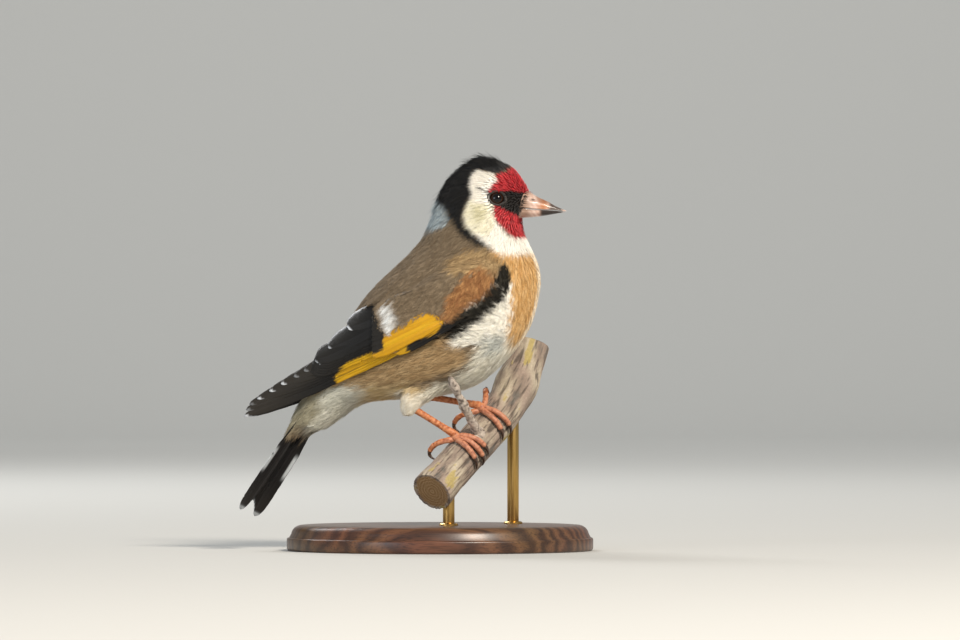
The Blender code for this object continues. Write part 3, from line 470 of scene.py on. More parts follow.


# Plumage colours. Each mark is an outline in the side view with its two shades,
# how soft its edge is in mm and how far single feathers step over it in mm.

# The ground, the back's brown, is drawn darker than the feathers' own brown: painted shade over the
# back.
GROUND = ("#6E5F4B", "#83735D")
MARKS = (
    # rump, paler and greyer
    (
        [(-27.4, 63.7), (-23.0, 60.4), (-31.2, 47.3), (-37.3, 34.7), (-46.6, 34.7), (-48.8, 41.2)],
        "#CFC4AE", "#E0D8C6", 3.0, 1.2
    ),
    # flank, warm brown under the wing
    (
        [
            (2.7, 56.3), (8.2, 54.4), (7.7, 50.6), (0.0, 47.3), (-11.0, 43.4), (-24.7, 40.7),
            (-28.8, 42.6), (-38.4, 38.5), (-38.4, 46.7), (-11.0, 60.4), (2.7, 59.0)
        ],
        "#A0835C", "#B59A72", 2.4, 1.2
    ),
    # belly, pale
    (
        [
            (16.4, 61.8), (24.7, 59.0), (24.7, 46.7), (11.0, 41.2), (0.0, 35.8), (-12.3, 35.8),
            (-12.3, 40.7), (-5.5, 43.4), (2.7, 46.7), (7.7, 50.6), (9.6, 54.9), (11.0, 59.0)
        ],
        "#D2CEBC", "#EAE6D8", 2.0, 1.2
    ),
    # lower belly, buff
    (
        [(-5.5, 45.3), (-4.1, 35.8), (-24.7, 33.0), (-26.9, 43.4), (-16.4, 45.1)], "#C2A878",
        "#D4BE94", 2.0, 1.2
    ),
    # white side beside the wing's front
    (
        [
            (8.2, 68.6), (20.3, 79.0), (21.4, 71.4), (20.8, 60.4), (17.8, 55.8), (8.2, 55.8),
            (2.7, 56.3), (3.3, 61.8)
        ],
        "#EFEBDD", "#F7F4EA", 1.2, 0.8
    ),
    # painted cool shade where the white side meets the belly
    ([(11.5, 58.2), (18.1, 58.8), (17.0, 53.8), (12.6, 53.3)], "#B9BDB6", "#CDCFC8", 1.8, 0.8),
    # breast patch, tan
    (
        [
            (13.4, 82.3), (24.1, 83.7), (30.1, 82.3), (34.2, 68.6), (32.9, 60.4), (27.4, 54.9),
            (20.6, 53.8), (18.6, 57.7), (19.7, 65.9), (19.2, 72.7), (16.4, 77.4), (12.6, 79.3)
        ],
        "#C3965A", "#DAB57E", 1.8, 1.0
    ),
    # throat, white
    (
        [
            (9.3, 86.2), (13.2, 83.2), (16.4, 81.0), (20.6, 80.7), (28.8, 81.2), (28.8, 86.2),
            (23.0, 86.7), (18.9, 86.2), (15.3, 90.3), (14.8, 94.7), (12.6, 97.4), (8.2, 96.0),
            (6.0, 91.9), (7.1, 88.4)
        ],
        "#F1EEE4", "#F8F5EC", 1.0, 0.5
    ),
    # cheek, cream
    (
        [
            (7.1, 94.9), (8.8, 96.6), (12.6, 97.1), (14.8, 94.7), (15.3, 90.0), (13.2, 86.2),
            (9.3, 86.7), (6.6, 88.9), (6.0, 91.9)
        ],
        "#E6E1C8", "#F1EDDA", 1.0, 0.4
    ),
    # olive tint behind the ear
    (
        [(8.8, 94.1), (11.0, 94.7), (12.6, 93.0), (12.1, 90.6), (9.6, 90.3), (8.2, 91.9)],
        "#D2CCA8", "#DDD8BC", 2.6, 0.6
    ),
    # white wedge behind the eye
    (
        [
            (9.9, 104.5), (14.0, 103.7), (16.4, 101.2), (15.3, 97.1), (13.7, 94.9), (9.9, 94.9),
            (7.7, 97.1), (7.4, 99.9), (7.7, 102.2), (8.9, 104.0)
        ],
        "#EDE8DC", "#F4F0E6", 0.7, 0.3
    ),
    # nape, blue-grey between the black and the mantle
    (
        [(-6.9, 98.8), (0.0, 96.0), (1.9, 91.9), (1.6, 88.9), (-2.7, 87.3), (-8.2, 88.4)],
        "#8D9AA0", "#A2ADB0", 1.4, 0.7
    ),
    # black cap that runs down behind the cheek
    (
        [
            (19.5, 105.1), (20.3, 108.1), (16.4, 113.0), (11.5, 114.1), (4.1, 113.8), (-1.6, 109.7),
            (-6.0, 102.1), (-6.6, 98.2), (-2.7, 97.1), (0.8, 93.3), (2.7, 90.3), (5.8, 86.2),
            (9.3, 83.7), (14.0, 81.8), (12.9, 83.4), (9.3, 86.4), (6.6, 88.9), (6.0, 91.9),
            (7.1, 94.9), (8.5, 97.4), (7.9, 99.9), (8.2, 102.6), (9.9, 104.5), (13.7, 103.7),
            (16.4, 103.2), (18.1, 104.3)
        ],
        "#15171A", "#1F1E1C", 0.6, 0.3
    ),
    # red over the bill and the eye
    (
        [
            (13.2, 98.5), (13.7, 99.5), (15.8, 101.2), (15.1, 102.6), (16.4, 103.4), (18.5, 104.1),
            (20.0, 105.6), (22.5, 107.5), (28.8, 107.0), (29.6, 98.0), (24.4, 98.0), (23.0, 97.1),
            (20.8, 97.4), (18.5, 98.0), (16.4, 98.0), (14.8, 97.7), (13.2, 97.4)
        ],
        "#8E1B22", "#C92E35", 0.35, 0.25
    ),
    # red under the bill
    (
        [
            (14.8, 94.9), (18.1, 93.8), (20.3, 92.7), (21.6, 92.2), (23.6, 92.5), (28.8, 92.7),
            (28.8, 86.2), (23.0, 85.6), (20.6, 85.6), (18.9, 86.7), (17.1, 88.5), (15.3, 90.3),
            (14.5, 92.6)
        ],
        "#8E1B22", "#C92E35", 0.35, 0.25
    ),
    # black from the bill to the eye and round it
    (
        [
            (14.0, 97.4), (16.4, 98.2), (18.5, 98.5), (21.2, 98.1), (23.6, 98.0), (28.8, 98.0),
            (28.8, 91.7), (23.0, 91.7), (21.4, 91.5), (20.3, 92.2), (18.1, 93.0), (15.8, 94.4),
            (14.4, 95.4)
        ],
        "#141312", "#201C19", 0.3, 0.1
    ),
    # thin black line behind the eye
    ([(14.8, 97.5), (14.8, 96.9), (10.1, 99.2), (10.1, 99.8)], "#26221E", "#302A24", 0.3, 0.1),
    # pale fringe where the mantle meets the wing
    (
        [(-16.2, 66.2), (-14.2, 67.0), (-12.9, 64.5), (-12.3, 60.7), (-14.2, 59.0), (-15.9, 62.6)],
        "#DADDDC", "#ECEDEA", 0.9, 0.6
    ),
    # buff feathers over the shoulder
    (
        [
            (1.4, 79.0), (6.0, 81.8), (12.3, 82.6), (16.4, 80.1), (17.3, 77.4), (15.6, 73.6),
            (9.6, 76.3), (4.1, 75.2), (0.8, 76.3)
        ],
        "#8C7452", "#AF956C", 1.6, 1.0
    ),
    # chestnut shoulder
    (
        [
            (4.9, 73.0), (10.4, 77.4), (15.6, 75.2), (14.2, 69.7), (10.4, 67.5), (6.0, 64.8),
            (2.2, 61.5), (-0.5, 62.6), (1.6, 68.1)
        ],
        "#875C39", "#A97D50", 1.8, 0.9
    ),
    # black wrist
    (
        [
            (17.8, 79.0), (19.7, 75.2), (18.9, 71.4), (16.7, 67.5), (13.7, 65.3), (10.4, 62.6),
            (6.0, 59.3), (2.2, 57.4), (0.5, 58.8), (1.6, 61.8), (5.5, 64.8), (8.5, 67.0),
            (11.2, 68.6), (14.5, 73.0), (16.4, 77.4)
        ],
        "#15130F", "#2B2820", 0.6, 0.35
    ),
    # under the tail, whitish
    (
        [
            (-33.4, 44.5), (-21.4, 44.5), (-21.4, 37.9), (-30.1, 30.3), (-37.0, 28.9),
            (-36.7, 35.8), (-34.5, 41.2)
        ],
        "#C9C8B8", "#E2E0D2", 2.0, 1.0
    ),
    (
        [(-46.6, 40.7), (-32.9, 43.4), (-32.9, 38.5), (-35.1, 35.2), (-38.4, 33.0), (-46.6, 31.4)],
        "#A39C84", "#8F8870", 2.0, 1.0
    ),
    # thigh
    ([(-12.6, 42.6), (-3.3, 42.6), (-2.2, 34.1), (-13.2, 34.1)], "#EDE8DA", "#DCD3BE", 1.6, 0.8),
)
BREAST_STRIPE = ("#E9DCC0", "#F3EBDA")
BREAST = [(13.4, 82.3), (34.2, 82.3), (34.2, 54.4), (18.6, 54.4), (16.4, 77.4)]


def laid_over(colours, code, share):
    """Colours with a hex colour laid over them by a share for each."""
    share = share[:, None]
    return colours * (1 - share) + np.array(linear(code)) * share


def shades(first, last, mix):
    """Linear colours between two hex shades."""
    return np.array(linear(first)) + (np.array(linear(last)) - linear(first)) * mix[..., None]


def plumage(points, mix, ragged):
    """Linear colours of the plumage: mix, 0 to 1, picks the shade in a mark, and
    ragged, about -1 to 1, moves a feather's step over the marks' edges."""
    view = side_view(points)
    colour = shades(*GROUND, mix)
    for outline, first, last, soft, step in MARKS:
        share = smooth((inside(view, outline) + step * ragged) / soft + 0.5)[..., None]
        colour = colour * (1 - share) + shades(first, last, mix) * share
    # A pale stripe runs down the middle of the breast.
    middle = np.abs((points @ TURN)[..., 1]) * 1000
    share = smooth((3.4 - middle + 0.8 * ragged) / 2.4) * smooth((inside(view, BREAST) + 1.0) / 3.0)
    share = (0.85 * share)[..., None]
    return colour * (1 - share) + shades(*BREAST_STRIPE, mix) * share


# Lie of the coat. Rows: a place in the side view, the way the feathers lie
# there (forward, up), a feather's length and width in mm, how loose it is from
# 0 to 1, the coat's depth in mm, and the piece that it belongs to.

LIE = (
    ((23.3, 102.1), (-0.60, 0.80), 1.4, 0.62, 0.0, 0.35, "face"),
    ((19.2, 104.3), (-0.85, 0.50), 1.5, 0.62, 0.0, 0.35, "face"),
    ((15.9, 102.1), (-0.90, 0.35), 1.5, 0.62, 0.0, 0.35, "face"),
    ((15.9, 96.6), (-0.97, -0.10), 1.2, 0.55, 0.0, 0.35, "face"),
    ((21.9, 96.0), (-0.90, 0.00), 1.1, 0.50, 0.0, 0.35, "face"),
    ((17.8, 90.0), (-0.40, -0.90), 1.6, 0.65, 0.0, 0.40, "face"),
    ((21.4, 91.1), (-0.30, -0.95), 1.4, 0.60, 0.0, 0.40, "face"),
    ((12.3, 107.5), (-0.95, 0.25), 3.4, 0.85, 0.2, 1.25, "crown"),
    ((16.4, 107.5), (-0.95, 0.30), 2.6, 0.75, 0.1, 0.90, "crown"),
    ((6.0, 107.0), (-0.92, 0.05), 3.8, 0.95, 0.3, 1.35, "crown"),
    ((1.4, 102.1), (-0.85, -0.45), 4.0, 1.05, 0.3, 1.35, "crown"),
    ((-1.1, 96.6), (-0.55, -0.83), 4.2, 1.25, 0.4, 1.30, "crown"),
    ((2.7, 94.7), (-0.60, -0.80), 3.2, 1.15, 0.2, 0.80, "crown"),
    ((11.0, 100.7), (-0.90, 0.20), 2.2, 0.85, 0.1, 0.50, "cheek"),
    ((8.2, 97.4), (-0.95, -0.20), 2.4, 0.90, 0.1, 0.50, "cheek"),
    ((11.0, 92.7), (-0.80, -0.60), 2.6, 0.95, 0.1, 0.55, "cheek"),
    ((8.2, 89.2), (-0.75, -0.66), 2.9, 1.05, 0.1, 0.60, "cheek"),
    ((13.7, 86.4), (-0.60, -0.80), 2.6, 0.95, 0.1, 0.55, "cheek"),
    ((20.6, 84.3), (-0.25, -0.97), 2.9, 1.05, 0.1, 0.60, "cheek"),
    ((4.1, 85.1), (-0.70, -0.70), 4.0, 1.50, 0.2, 0.80, "mantle"),
    ((-1.1, 90.0), (-0.50, -0.87), 4.6, 1.75, 0.4, 0.90, "mantle"),
    ((-4.1, 82.3), (-0.70, -0.70), 5.6, 2.20, 0.3, 0.85, "mantle"),
    ((-12.3, 74.1), (-0.75, -0.66), 6.2, 2.50, 0.2, 0.80, "mantle"),
    ((-19.2, 68.6), (-0.72, -0.70), 6.4, 2.60, 0.3, 0.80, "mantle"),
    ((-30.1, 56.3), (-0.75, -0.66), 7.0, 2.70, 0.4, 0.85, "rump"),
    ((-38.4, 44.0), (-0.75, -0.66), 7.4, 2.70, 0.4, 0.85, "rump"),
    ((23.3, 76.9), (-0.15, -0.99), 4.6, 1.80, 0.2, 0.75, "breast"),
    ((16.4, 79.0), (-0.60, -0.80), 3.8, 1.50, 0.2, 0.70, "breast"),
    ((24.7, 68.6), (-0.20, -0.98), 5.8, 2.20, 0.3, 0.80, "breast"),
    ((21.9, 59.0), (-0.50, -0.87), 6.8, 2.40, 0.4, 0.85, "breast"),
    ((16.4, 52.2), (-0.80, -0.60), 7.4, 2.50, 0.6, 0.90, "belly"),
    ((19.2, 64.5), (-0.60, -0.50), 5.4, 1.90, 0.8, 0.80, "side"),
    ((12.3, 61.8), (-0.90, -0.20), 5.6, 1.90, 0.9, 0.80, "side"),
    ((11.0, 56.3), (-0.90, -0.40), 6.8, 2.30, 0.7, 0.85, "side"),
    ((8.2, 47.3), (-0.95, -0.30), 7.6, 2.60, 0.6, 0.90, "belly"),
    ((0.0, 44.0), (-0.97, -0.20), 7.8, 2.70, 0.6, 0.90, "belly"),
    ((-11.0, 41.8), (-0.97, -0.25), 7.8, 2.80, 0.6, 0.90, "belly"),
    ((-5.5, 49.5), (-0.90, -0.42), 7.2, 2.50, 0.5, 0.85, "belly"),
    ((-16.4, 45.3), (-0.93, -0.35), 7.4, 2.60, 0.5, 0.85, "vent"),
    ((-24.7, 39.9), (-0.85, -0.53), 8.2, 2.80, 0.5, 0.90, "vent"),
    ((-32.9, 35.8), (-0.65, -0.76), 8.4, 2.80, 0.5, 0.90, "vent"),
    ((-38.4, 34.4), (-0.60, -0.80), 8.0, 2.70, 0.4, 0.85, "vent"),
    ((-8.2, 40.7), (-0.45, -0.89), 3.0, 1.20, 0.3, 0.50, "belly"),
    ((-7.9, 37.1), (-0.20, -0.98), 2.4, 1.05, 0.3, 0.45, "belly"),
    ((13.7, 79.6), (-0.75, -0.60), 3.9, 1.60, 0.2, 0.60, "shoulder"),
    ((12.3, 72.7), (-0.35, -0.94), 3.8, 1.60, 0.2, 0.55, "shoulder"),
    ((6.9, 71.4), (-0.60, -0.80), 4.2, 1.70, 0.2, 0.55, "shoulder"),
    ((0.0, 71.4), (-0.75, -0.66), 4.8, 1.90, 0.2, 0.60, "shoulder"),
    ((-8.2, 65.9), (-0.80, -0.58), 5.6, 2.20, 0.3, 0.65, "shoulder"),
    ((16.4, 71.9), (0.10, -0.99), 2.4, 1.30, 0.0, 0.50, "shoulder"),
)
# Where the wing's long feathers show bare, and where small feathers cover the wing.
WING_BARE = [
    (-18.4, 66.4), (-16.7, 63.2), (-15.3, 59.6), (-13.2, 60.4), (-10.1, 62.3), (-6.9, 64.0),
    (-4.7, 65.3), (-1.9, 65.3), (0.5, 63.2), (2.5, 63.2), (4.9, 64.8), (7.4, 66.7), (9.3, 67.0),
    (9.9, 65.3), (7.1, 62.6), (4.9, 59.9), (2.5, 56.9), (-2.7, 54.4), (-7.7, 52.2), (-16.4, 49.2),
    (-24.7, 45.9), (-32.9, 42.3), (-41.1, 38.8), (-52.1, 37.1), (-61.7, 35.8), (-61.7, 42.6),
    (-38.4, 56.3), (-26.0, 64.5), (-21.4, 67.3)
]
SHOULDER = [
    (-18.9, 67.0), (-16.7, 63.2), (-15.3, 59.6), (-13.2, 60.4), (-10.1, 62.3), (-6.9, 64.0),
    (-4.7, 65.3), (-1.9, 65.3), (0.5, 63.2), (2.5, 63.2), (4.9, 64.8), (7.4, 66.7), (9.9, 67.0),
    (12.6, 66.2), (16.4, 67.5), (19.7, 71.9), (19.7, 77.4), (17.0, 80.7), (11.0, 84.0), (2.7, 84.0),
    (-6.9, 79.0), (-16.4, 71.4)
]
WISPS = [
    (10.4, 68.6), (14.2, 68.6), (19.2, 71.4), (21.4, 68.6), (21.4, 60.4), (17.8, 54.9), (8.2, 54.9),
    (2.2, 55.5), (4.1, 58.2), (7.1, 62.6)
]
CREST = [
    (17.8, 105.4), (20.0, 107.5), (16.4, 113.8), (4.1, 115.2), (-4.1, 109.7), (-8.2, 97.4),
    (-4.1, 92.7), (0.0, 96.0), (1.9, 104.3), (7.7, 107.8), (13.7, 107.0)
]
BODY_LINE = (
    (23.5, 94.7), (20.8, 96.0), (17.4, 96.0), (14.1, 91.5), (12.8, 85.5), (11.2, 78.5), (6.0, 69.8),
    (-2.8, 58.9), (-13.6, 49.6), (-28.1, 42.4), (-36.4, 33.8), (-44.0, 26.0)
)


def lie_at(points):
    """The coat's lie at some places: unit ways on the surface's side view, a table of
    length, width, looseness and depth, and the nearest row's number."""
    view = side_view(points)
    spots = np.array([row[0] for row in LIE], float)
    apart = ((view[..., None, :] - spots) ** 2).sum(-1)
    weight = np.exp(-apart / (2 * 3.6**2)) + 1e-5 / (1 + apart)
    weight /= weight.sum(-1, keepdims=True)
    ways = weight @ np.array([row[1] for row in LIE])
    sizes = weight @ np.array([row[2:6] for row in LIE])
    return ways, sizes, apart.argmin(-1)


def flow(points, normals, ways):
    """Unit directions along the surface from side-view ways, mirrored on the left."""
    flat = np.stack([ways[..., 0], np.zeros(ways.shape[:-1]), ways[..., 1]], axis=-1)
    upright = flat @ TURN
    left = (points @ TURN)[..., 1] > 0
    upright[..., 1] = np.where(left, -upright[..., 1], upright[..., 1])
    world = upright @ TURN.T
    world = world - normals * (world * normals).sum(-1, keepdims=True)
    return units(world)


# Carriers: the surfaces that the coat is laid on


def taken(names, grow):
    """A bmesh of copies of CAD nodes, each merged and grown a little."""
    parts = []
    for name in names:
        part = bmesh.new()
        part.from_mesh(NODES[name].data)
        bmesh.ops.remove_doubles(part, verts=part.verts, dist=1e-6)
        part.normal_update()
        for v in part.verts:
            v.co += v.normal * grow
        parts.append(part)
    return joined(parts)


def remeshed(bm, voxel):
    """An even mesh round everything in a bmesh."""
    held = bpy.data.meshes.new("held")
    bm.to_mesh(held)
    bm.free()
    obj = bpy.data.objects.new("held", held)
    bpy.context.scene.collection.objects.link(obj)
    change = obj.modifiers.new("even", "REMESH")
    change.mode = "VOXEL"
    change.voxel_size = voxel
    graph = bpy.context.evaluated_depsgraph_get()
    mesh = bpy.data.meshes.new_from_object(obj.evaluated_get(graph))
    bpy.data.objects.remove(obj, do_unlink=True)
    bpy.data.meshes.remove(held)
    return mesh


def relaxed(mesh, rounds, shrink):
    """Smooths a mesh without shrinking it, then moves it inwards by shrink."""
    points = places(mesh)
    ends = np.zeros(len(mesh.edges) * 2, np.int32)
    mesh.edges.foreach_get("vertices", ends)
    a, b = ends[0::2], ends[1::2]
    count = np.bincount(a, minlength=len(points)) + np.bincount(b, minlength=len(points))
    for _ in range(rounds):
        for step in (0.5, -0.52):
            total = np.zeros_like(points)
            for k in range(3):
                total[:, k] = np.bincount(
                    a, points[b, k], len(points)
                ) + np.bincount(b, points[a, k], len(points))
            points += step * (total / count[:, None] - points)
    moved(mesh, points)
    moved(mesh, points - normals_of(mesh) * shrink)
    return mesh


def normals_of(mesh):
    """The normals of a mesh's points as an array."""
    found = np.zeros(len(mesh.vertices) * 3, np.float32)
    mesh.vertex_normals.foreach_get("vector", found)
    return found.reshape(-1, 3).astype(float)


FLESH = ["head", "neck", "torso", "leg_right_thigh", "leg_left_thigh"]


def tree_of(mesh):
    """A search tree over a mesh's faces."""
    bm = bmesh.new()
    bm.from_mesh(mesh)
    tree = BVHTree.FromBMesh(bm)
    bm.free()
    return tree


def scattered(mesh, count):
    """Random places on a mesh with their normals, spread evenly over its area."""
    mesh.calc_loop_triangles()
    corners = np.zeros(len(mesh.loop_triangles) * 3, np.int32)
    mesh.loop_triangles.foreach_get("vertices", corners)
    corners = corners.reshape(-1, 3)
    points = places(mesh)
    a, b, c = (points[corners[:, k]] for k in range(3))
    cross = np.cross(b - a, c - a)
    area = np.linalg.norm(cross, axis=1)
    chosen = DICE.choice(len(area), count, p=area / area.sum())
    r = np.sqrt(DICE.random(count))[:, None]
    s = DICE.random(count)[:, None]
    at = a[chosen] * (1 - r) + b[chosen] * (r * (1 - s)) + c[chosen] * (r * s)
    smooth_normals = normals_of(mesh)
    near = units(smooth_normals[corners[chosen]].mean(axis=1))
    return at, near


def spaced(points, gaps):
    """Indices of places that keep their own gap from the ones kept before them."""
    cell = gaps.max()
    cells = {}
    kept = []
    keys = np.floor(points / cell).astype(int)
    near = [(i, j, k) for i in (-1, 0, 1) for j in (-1, 0, 1) for k in (-1, 0, 1)]
    coords = points.tolist()
    for index, (key, gap) in enumerate(zip(keys.tolist(), gaps.tolist())):
        x, y, z = coords[index]
        limit = gap * gap
        free = True
        for i, j, k in near:
            for ox, oy, oz in cells.get((key[0] + i, key[1] + j, key[2] + k), ()):
                if (ox - x) ** 2 + (oy - y) ** 2 + (oz - z) ** 2 < limit:
                    free = False
                    break
            if not free:
                break
        if free:
            kept.append(index)
            cells.setdefault(tuple(key), []).append((x, y, z))
    return np.array(kept, int)


# Feathers


SLIVER = [(0, 1, 2), (0, 3, 1), (1, 3, 2), (2, 3, 0)]


def add_sliver(form, base, tip, reach, lift, tones):
    """Adds a closed sliver to a form: four corners and faces, from a base to its tip."""
    points, faces, all_tones = form
    u, v, w = base
    du, dv = tip[0] - u, tip[1] - v
    size = math.hypot(du, dv) or 1.0
    nu, nv = -dv / size * reach, du / size * reach
    faces += [tuple(len(points) + i for i in face) for face in SLIVER]
    points += [(u - nu, v - nv * 0.3, w), (u + nu, v + nv * 0.3, w), (u, v, w + lift), tip]
    all_tones += tones


def two_sided(count):
    """Faces of a flat form with a rim of count points, a top point and an under point."""
    faces = []
    for k in range(count):
        faces += [(k, (k + 1) % count, count), ((k + 1) % count, k, count + 1)]
    return faces


def pattern(form):
    """A form's points and outward faces, with the tones of its points, which hold painted shade and
    highlights.
    """
    points, faces, tones = form
    return turned_out(np.array(points, float), faces), np.array(tones)


def feather_pattern(dice, barbs, body, fringe):
    """A feather on a unit square: u across from -1 to 1, v along it, w over it. It has
    a solid leaf of a share of its size and barbs on either side that fray its edge."""
    rim = [
        (0, 0.0), (0.5, 0.16), (0.92, 0.46), (0.78, 0.74), (0, 0.93), (-0.78, 0.74), (-0.92, 0.46),
        (-0.5, 0.16)
    ]
    points = [(u * body, v * (0.25 + 0.75 * body), 0.0) for u, v in rim]
    points += [(0.0, 0.5 * body, 0.5), (0.0, 0.5 * body, -0.3)]
    # Tones of the rim, the top and the under point: darker at the root and underneath, painted
    # shade where feathers lie over one another, and lighter towards the tip.
    form = (points, two_sided(8), [0.84, 0.88, 0.95, 1.0, 1.05, 1.0, 0.95, 0.88, 0.97, 0.8])
    for side in (-1, 1):
        for k in range(barbs):
            share = (k + 0.5) / barbs + dice.uniform(-0.3, 0.3) / barbs
            start = 0.12 + 0.58 * share
            end = start + 0.34 + 0.06 * dice.uniform(-1, 1)
            wide = math.sqrt(
                max(0.0, 1 - ((end - 0.55) / 0.52) ** 2)
            ) if end > 0.55 else 0.8 + 0.36 * end
            out = side * min(1.0, wide) * (0.9 + fringe * dice.uniform(-0.8, 1.0))
            end += fringe * 0.25 * dice.uniform(-0.4, 1.0) * share
            thick = 0.085 * dice.uniform(0.8, 1.3)
            tip = (out, end, 0.2 + 0.5 * dice.random())
            # Each barb has a tone of its own at random, darker at its root as painted shade and
            # lighter at its tip.
            tone = dice.uniform(0.9, 1.1)
            add_sliver(
                form, (0.0, start, 0.35), tip, thick, 0.35,
                [0.94 * tone, 0.94 * tone, tone, 1.07 * tone]
            )
    for k in range(2):
        tip = (
            0.18 * (2 * k - 1) + 0.1 * dice.uniform(-1, 1), 1.0 + 0.06 * dice.uniform(-1, 1), 0.2
        )
        add_sliver(form, (0.0, 0.6, 0.3), tip, 0.09, 0.3, [1.0, 1.0, 1.05, 1.12])
    return pattern(form)


def bead_pattern(dice):
    """A small stiff face feather: a drop-shaped body and a few bristles at its end."""
    rim = [
        (0, 0.0, 0.0), (0.8, 0.45, 0), (0.45, 0.85, 0), (0, 1.0, 0.1), (-0.45, 0.85, 0),
        (-0.8, 0.45, 0)
    ]
    points = [
        (u * dice.uniform(0.85, 1.1), v, w) for u, v, w in rim + [(0, 0.55, 0.9), (0, 0.5, -0.4)]
    ]
    # Tones: very dark at the root and underneath, painted shade in the gaps between rows of beads,
    # and light at the tip and the ridge, painted highlights; the bristles' tips below are lighter
    # too.
    form = (points, two_sided(6), [0.3, 0.75, 1.05, 1.3, 1.05, 0.75, 1.2, 0.35])
    for k in range(4):
        at = (k - 1.5) / 1.5
        tip = (0.75 * at + 0.2 * dice.uniform(-1, 1), 1.12 + 0.12 * dice.uniform(-1, 1), 0.35)
        add_sliver(form, (0.3 * at, 0.55, 0.3), tip, 0.10, 0.4, [0.95, 0.95, 1.1, 1.2])
    return pattern(form)


def turned_out(points, faces):
    """Points of some closed forms, and their faces turned outwards, form by form."""
    faces = [tuple(f) for f in faces]
    parent = list(range(len(points)))

    def root(i):
        while parent[i] != i:
            i = parent[i]
        return i

    for f in faces:
        for i in f[1:]:
            parent[root(i)] = root(f[0])
    volume = {}
    for f in faces:
        a, b, c = (points[i] for i in f)
        volume[root(f[0])] = volume.get(root(f[0]), 0.0) + float(np.dot(a, np.cross(b, c)))
    right = [f if volume[root(f[0])] > 0 else f[::-1] for f in faces]
    return points, np.array(right, np.int32)


def traced(tree, starts, lengths, ways):
    """Paths along a surface from their starts, with the normals there."""
    at = starts.copy()
    path = np.zeros((len(starts), STEPS, 3))
    normal = np.zeros_like(path)
    for step in range(STEPS):
        for i, p in enumerate(at):
            spot, facing, _, _ = tree.find_nearest(Vector(p))
            path[i, step] = spot
            normal[i, step] = facing
        if step:
            normal[:, step] = units(normal[:, step] + normal[:, step - 1])
        ahead = flow(path[:, step], normal[:, step], ways)
        at = path[:, step] + ahead * (lengths / (STEPS - 1))[:, None]
    return path, normal


def unwrapped(points):
    """Shares along and round the skin's own shape for some places on it."""
    upright = points @ TURN * 1000
    spots = np.array(BODY_LINE, float)
    first, last = spots[:-1], spots[1:]
    span = last - first
    size = np.linalg.norm(span, axis=1)
    start = np.concatenate([[0], np.cumsum(size)[:-1]])
    flat = upright[:, [0, 2]]
    t = np.clip(((flat[:, None] - first) * span).sum(-1) / size**2, 0, 1)
    nearest = first + span * t[..., None]
    apart = np.linalg.norm(flat[:, None] - nearest, axis=-1)
    chosen = apart.argmin(1)
    pick = np.arange(len(points))
    share = (start[chosen] + t[pick, chosen] * size[chosen]) / size.sum()
    ahead = span[chosen] / size[chosen, None]
    up = ((flat - nearest[pick, chosen]) * np.stack([-ahead[:, 1], ahead[:, 0]], -1)).sum(-1)
    turn = np.arctan2(upright[:, 1], up) / (2 * math.pi) + 0.5
    return np.stack([turn, share], -1)


# The left eye's middle, the way it faces and the middle of its lids' rim.
EYE_CENTRE, EYE_FACING, EYE_RIM = (
    0.016871, 0.00794, 0.096127
), (0.1528, 0.9713, 0.1821), (0.0171, 0.009397, 0.0964)
EYE_RADIUS = 0.0022


def lay_feathers(path, normal, sizes, patterns, out):
    """Arrays of a batch of feathers laid along their paths: points, faces, paint and
    map places, for patterns drawn at random. Sizes are length, width, looseness, depth."""
    count = len(path)
    mix = DICE.random(count)
    ragged = DICE.uniform(-1, 1, count)
    ahead = np.gradient(path, axis=1)
    side = units(np.cross(ahead, normal))
    paint = plumage(path, np.repeat(mix[:, None], STEPS, 1), np.repeat(ragged[:, None], STEPS, 1))
    paint = paint * DICE.uniform(0.94, 1.06, count)[:, None, None]
    spread = unwrapped(path[:, 0])
    half = sizes[:, 1] / 2000 * DICE.uniform(0.88, 1.12, count)
    depth = sizes[:, 3] / 1000
    chosen = DICE.integers(0, len(patterns), count)
    blocks = []
    for number, ((shape, faces), tones) in enumerate(patterns):
        mine = np.flatnonzero(chosen == number)
        if not len(mine):
            continue
        u, v, w = shape.T
        at = v * (STEPS - 1)
        low = np.clip(at.astype(int), 0, STEPS - 2)
        t = at - low
        share = np.zeros((len(v), STEPS))
        share[np.arange(len(v)), low] = 1 - t
        share[np.arange(len(v)), low + 1] += t
        middle = np.einsum("mk,nkc->nmc", share, path[mine])
        across = np.einsum("mk,nkc->nmc", share, side[mine])
        over = units(np.einsum("mk,nkc->nmc", share, normal[mine]))
        height = -depth[mine, None] * (
            1 - smooth(v * 0.9)
        )[None] + (out[mine] / 1000)[:, None] * v[None] ** 2
        height = height + w[None] * 0.00010 - (u**2)[None] * half[mine, None] * 0.16
        points = middle + across * (
            u[None] * half[mine, None]
        )[..., None] + over * height[..., None]
        # The pattern's tones, with their painted shade and highlights, scale the paint.
        colour = np.einsum("mk,nkc->nmc", np.clip(share, 0, 1), paint[mine]) * tones[None, :, None]
        local = np.stack([(u + 1) / 2, v], -1) * BAKE_PATCH
        bake = spread[mine, None] + np.clip(local, 0, BAKE_PATCH)[None]
        offset = (np.arange(len(mine)) * len(v))[:, None, None]
        blocks.append(
            (
                points.reshape(-1, 3), (faces[None] + offset).reshape(-1, 3),
                np.clip(colour, 0, 1).reshape(-1, 3), bake.reshape(-1, 2)
            )
        )
    return blocks


def stacked(blocks):
    """Joins blocks of points, faces and other arrays into one set of arrays."""
    starts = np.cumsum([0] + [len(block[0]) for block in blocks])
    moved_up = [(block[0], block[1] + first, *block[2:]) for block, first in zip(blocks, starts)]
    return [np.concatenate(column) for column in zip(*moved_up)]


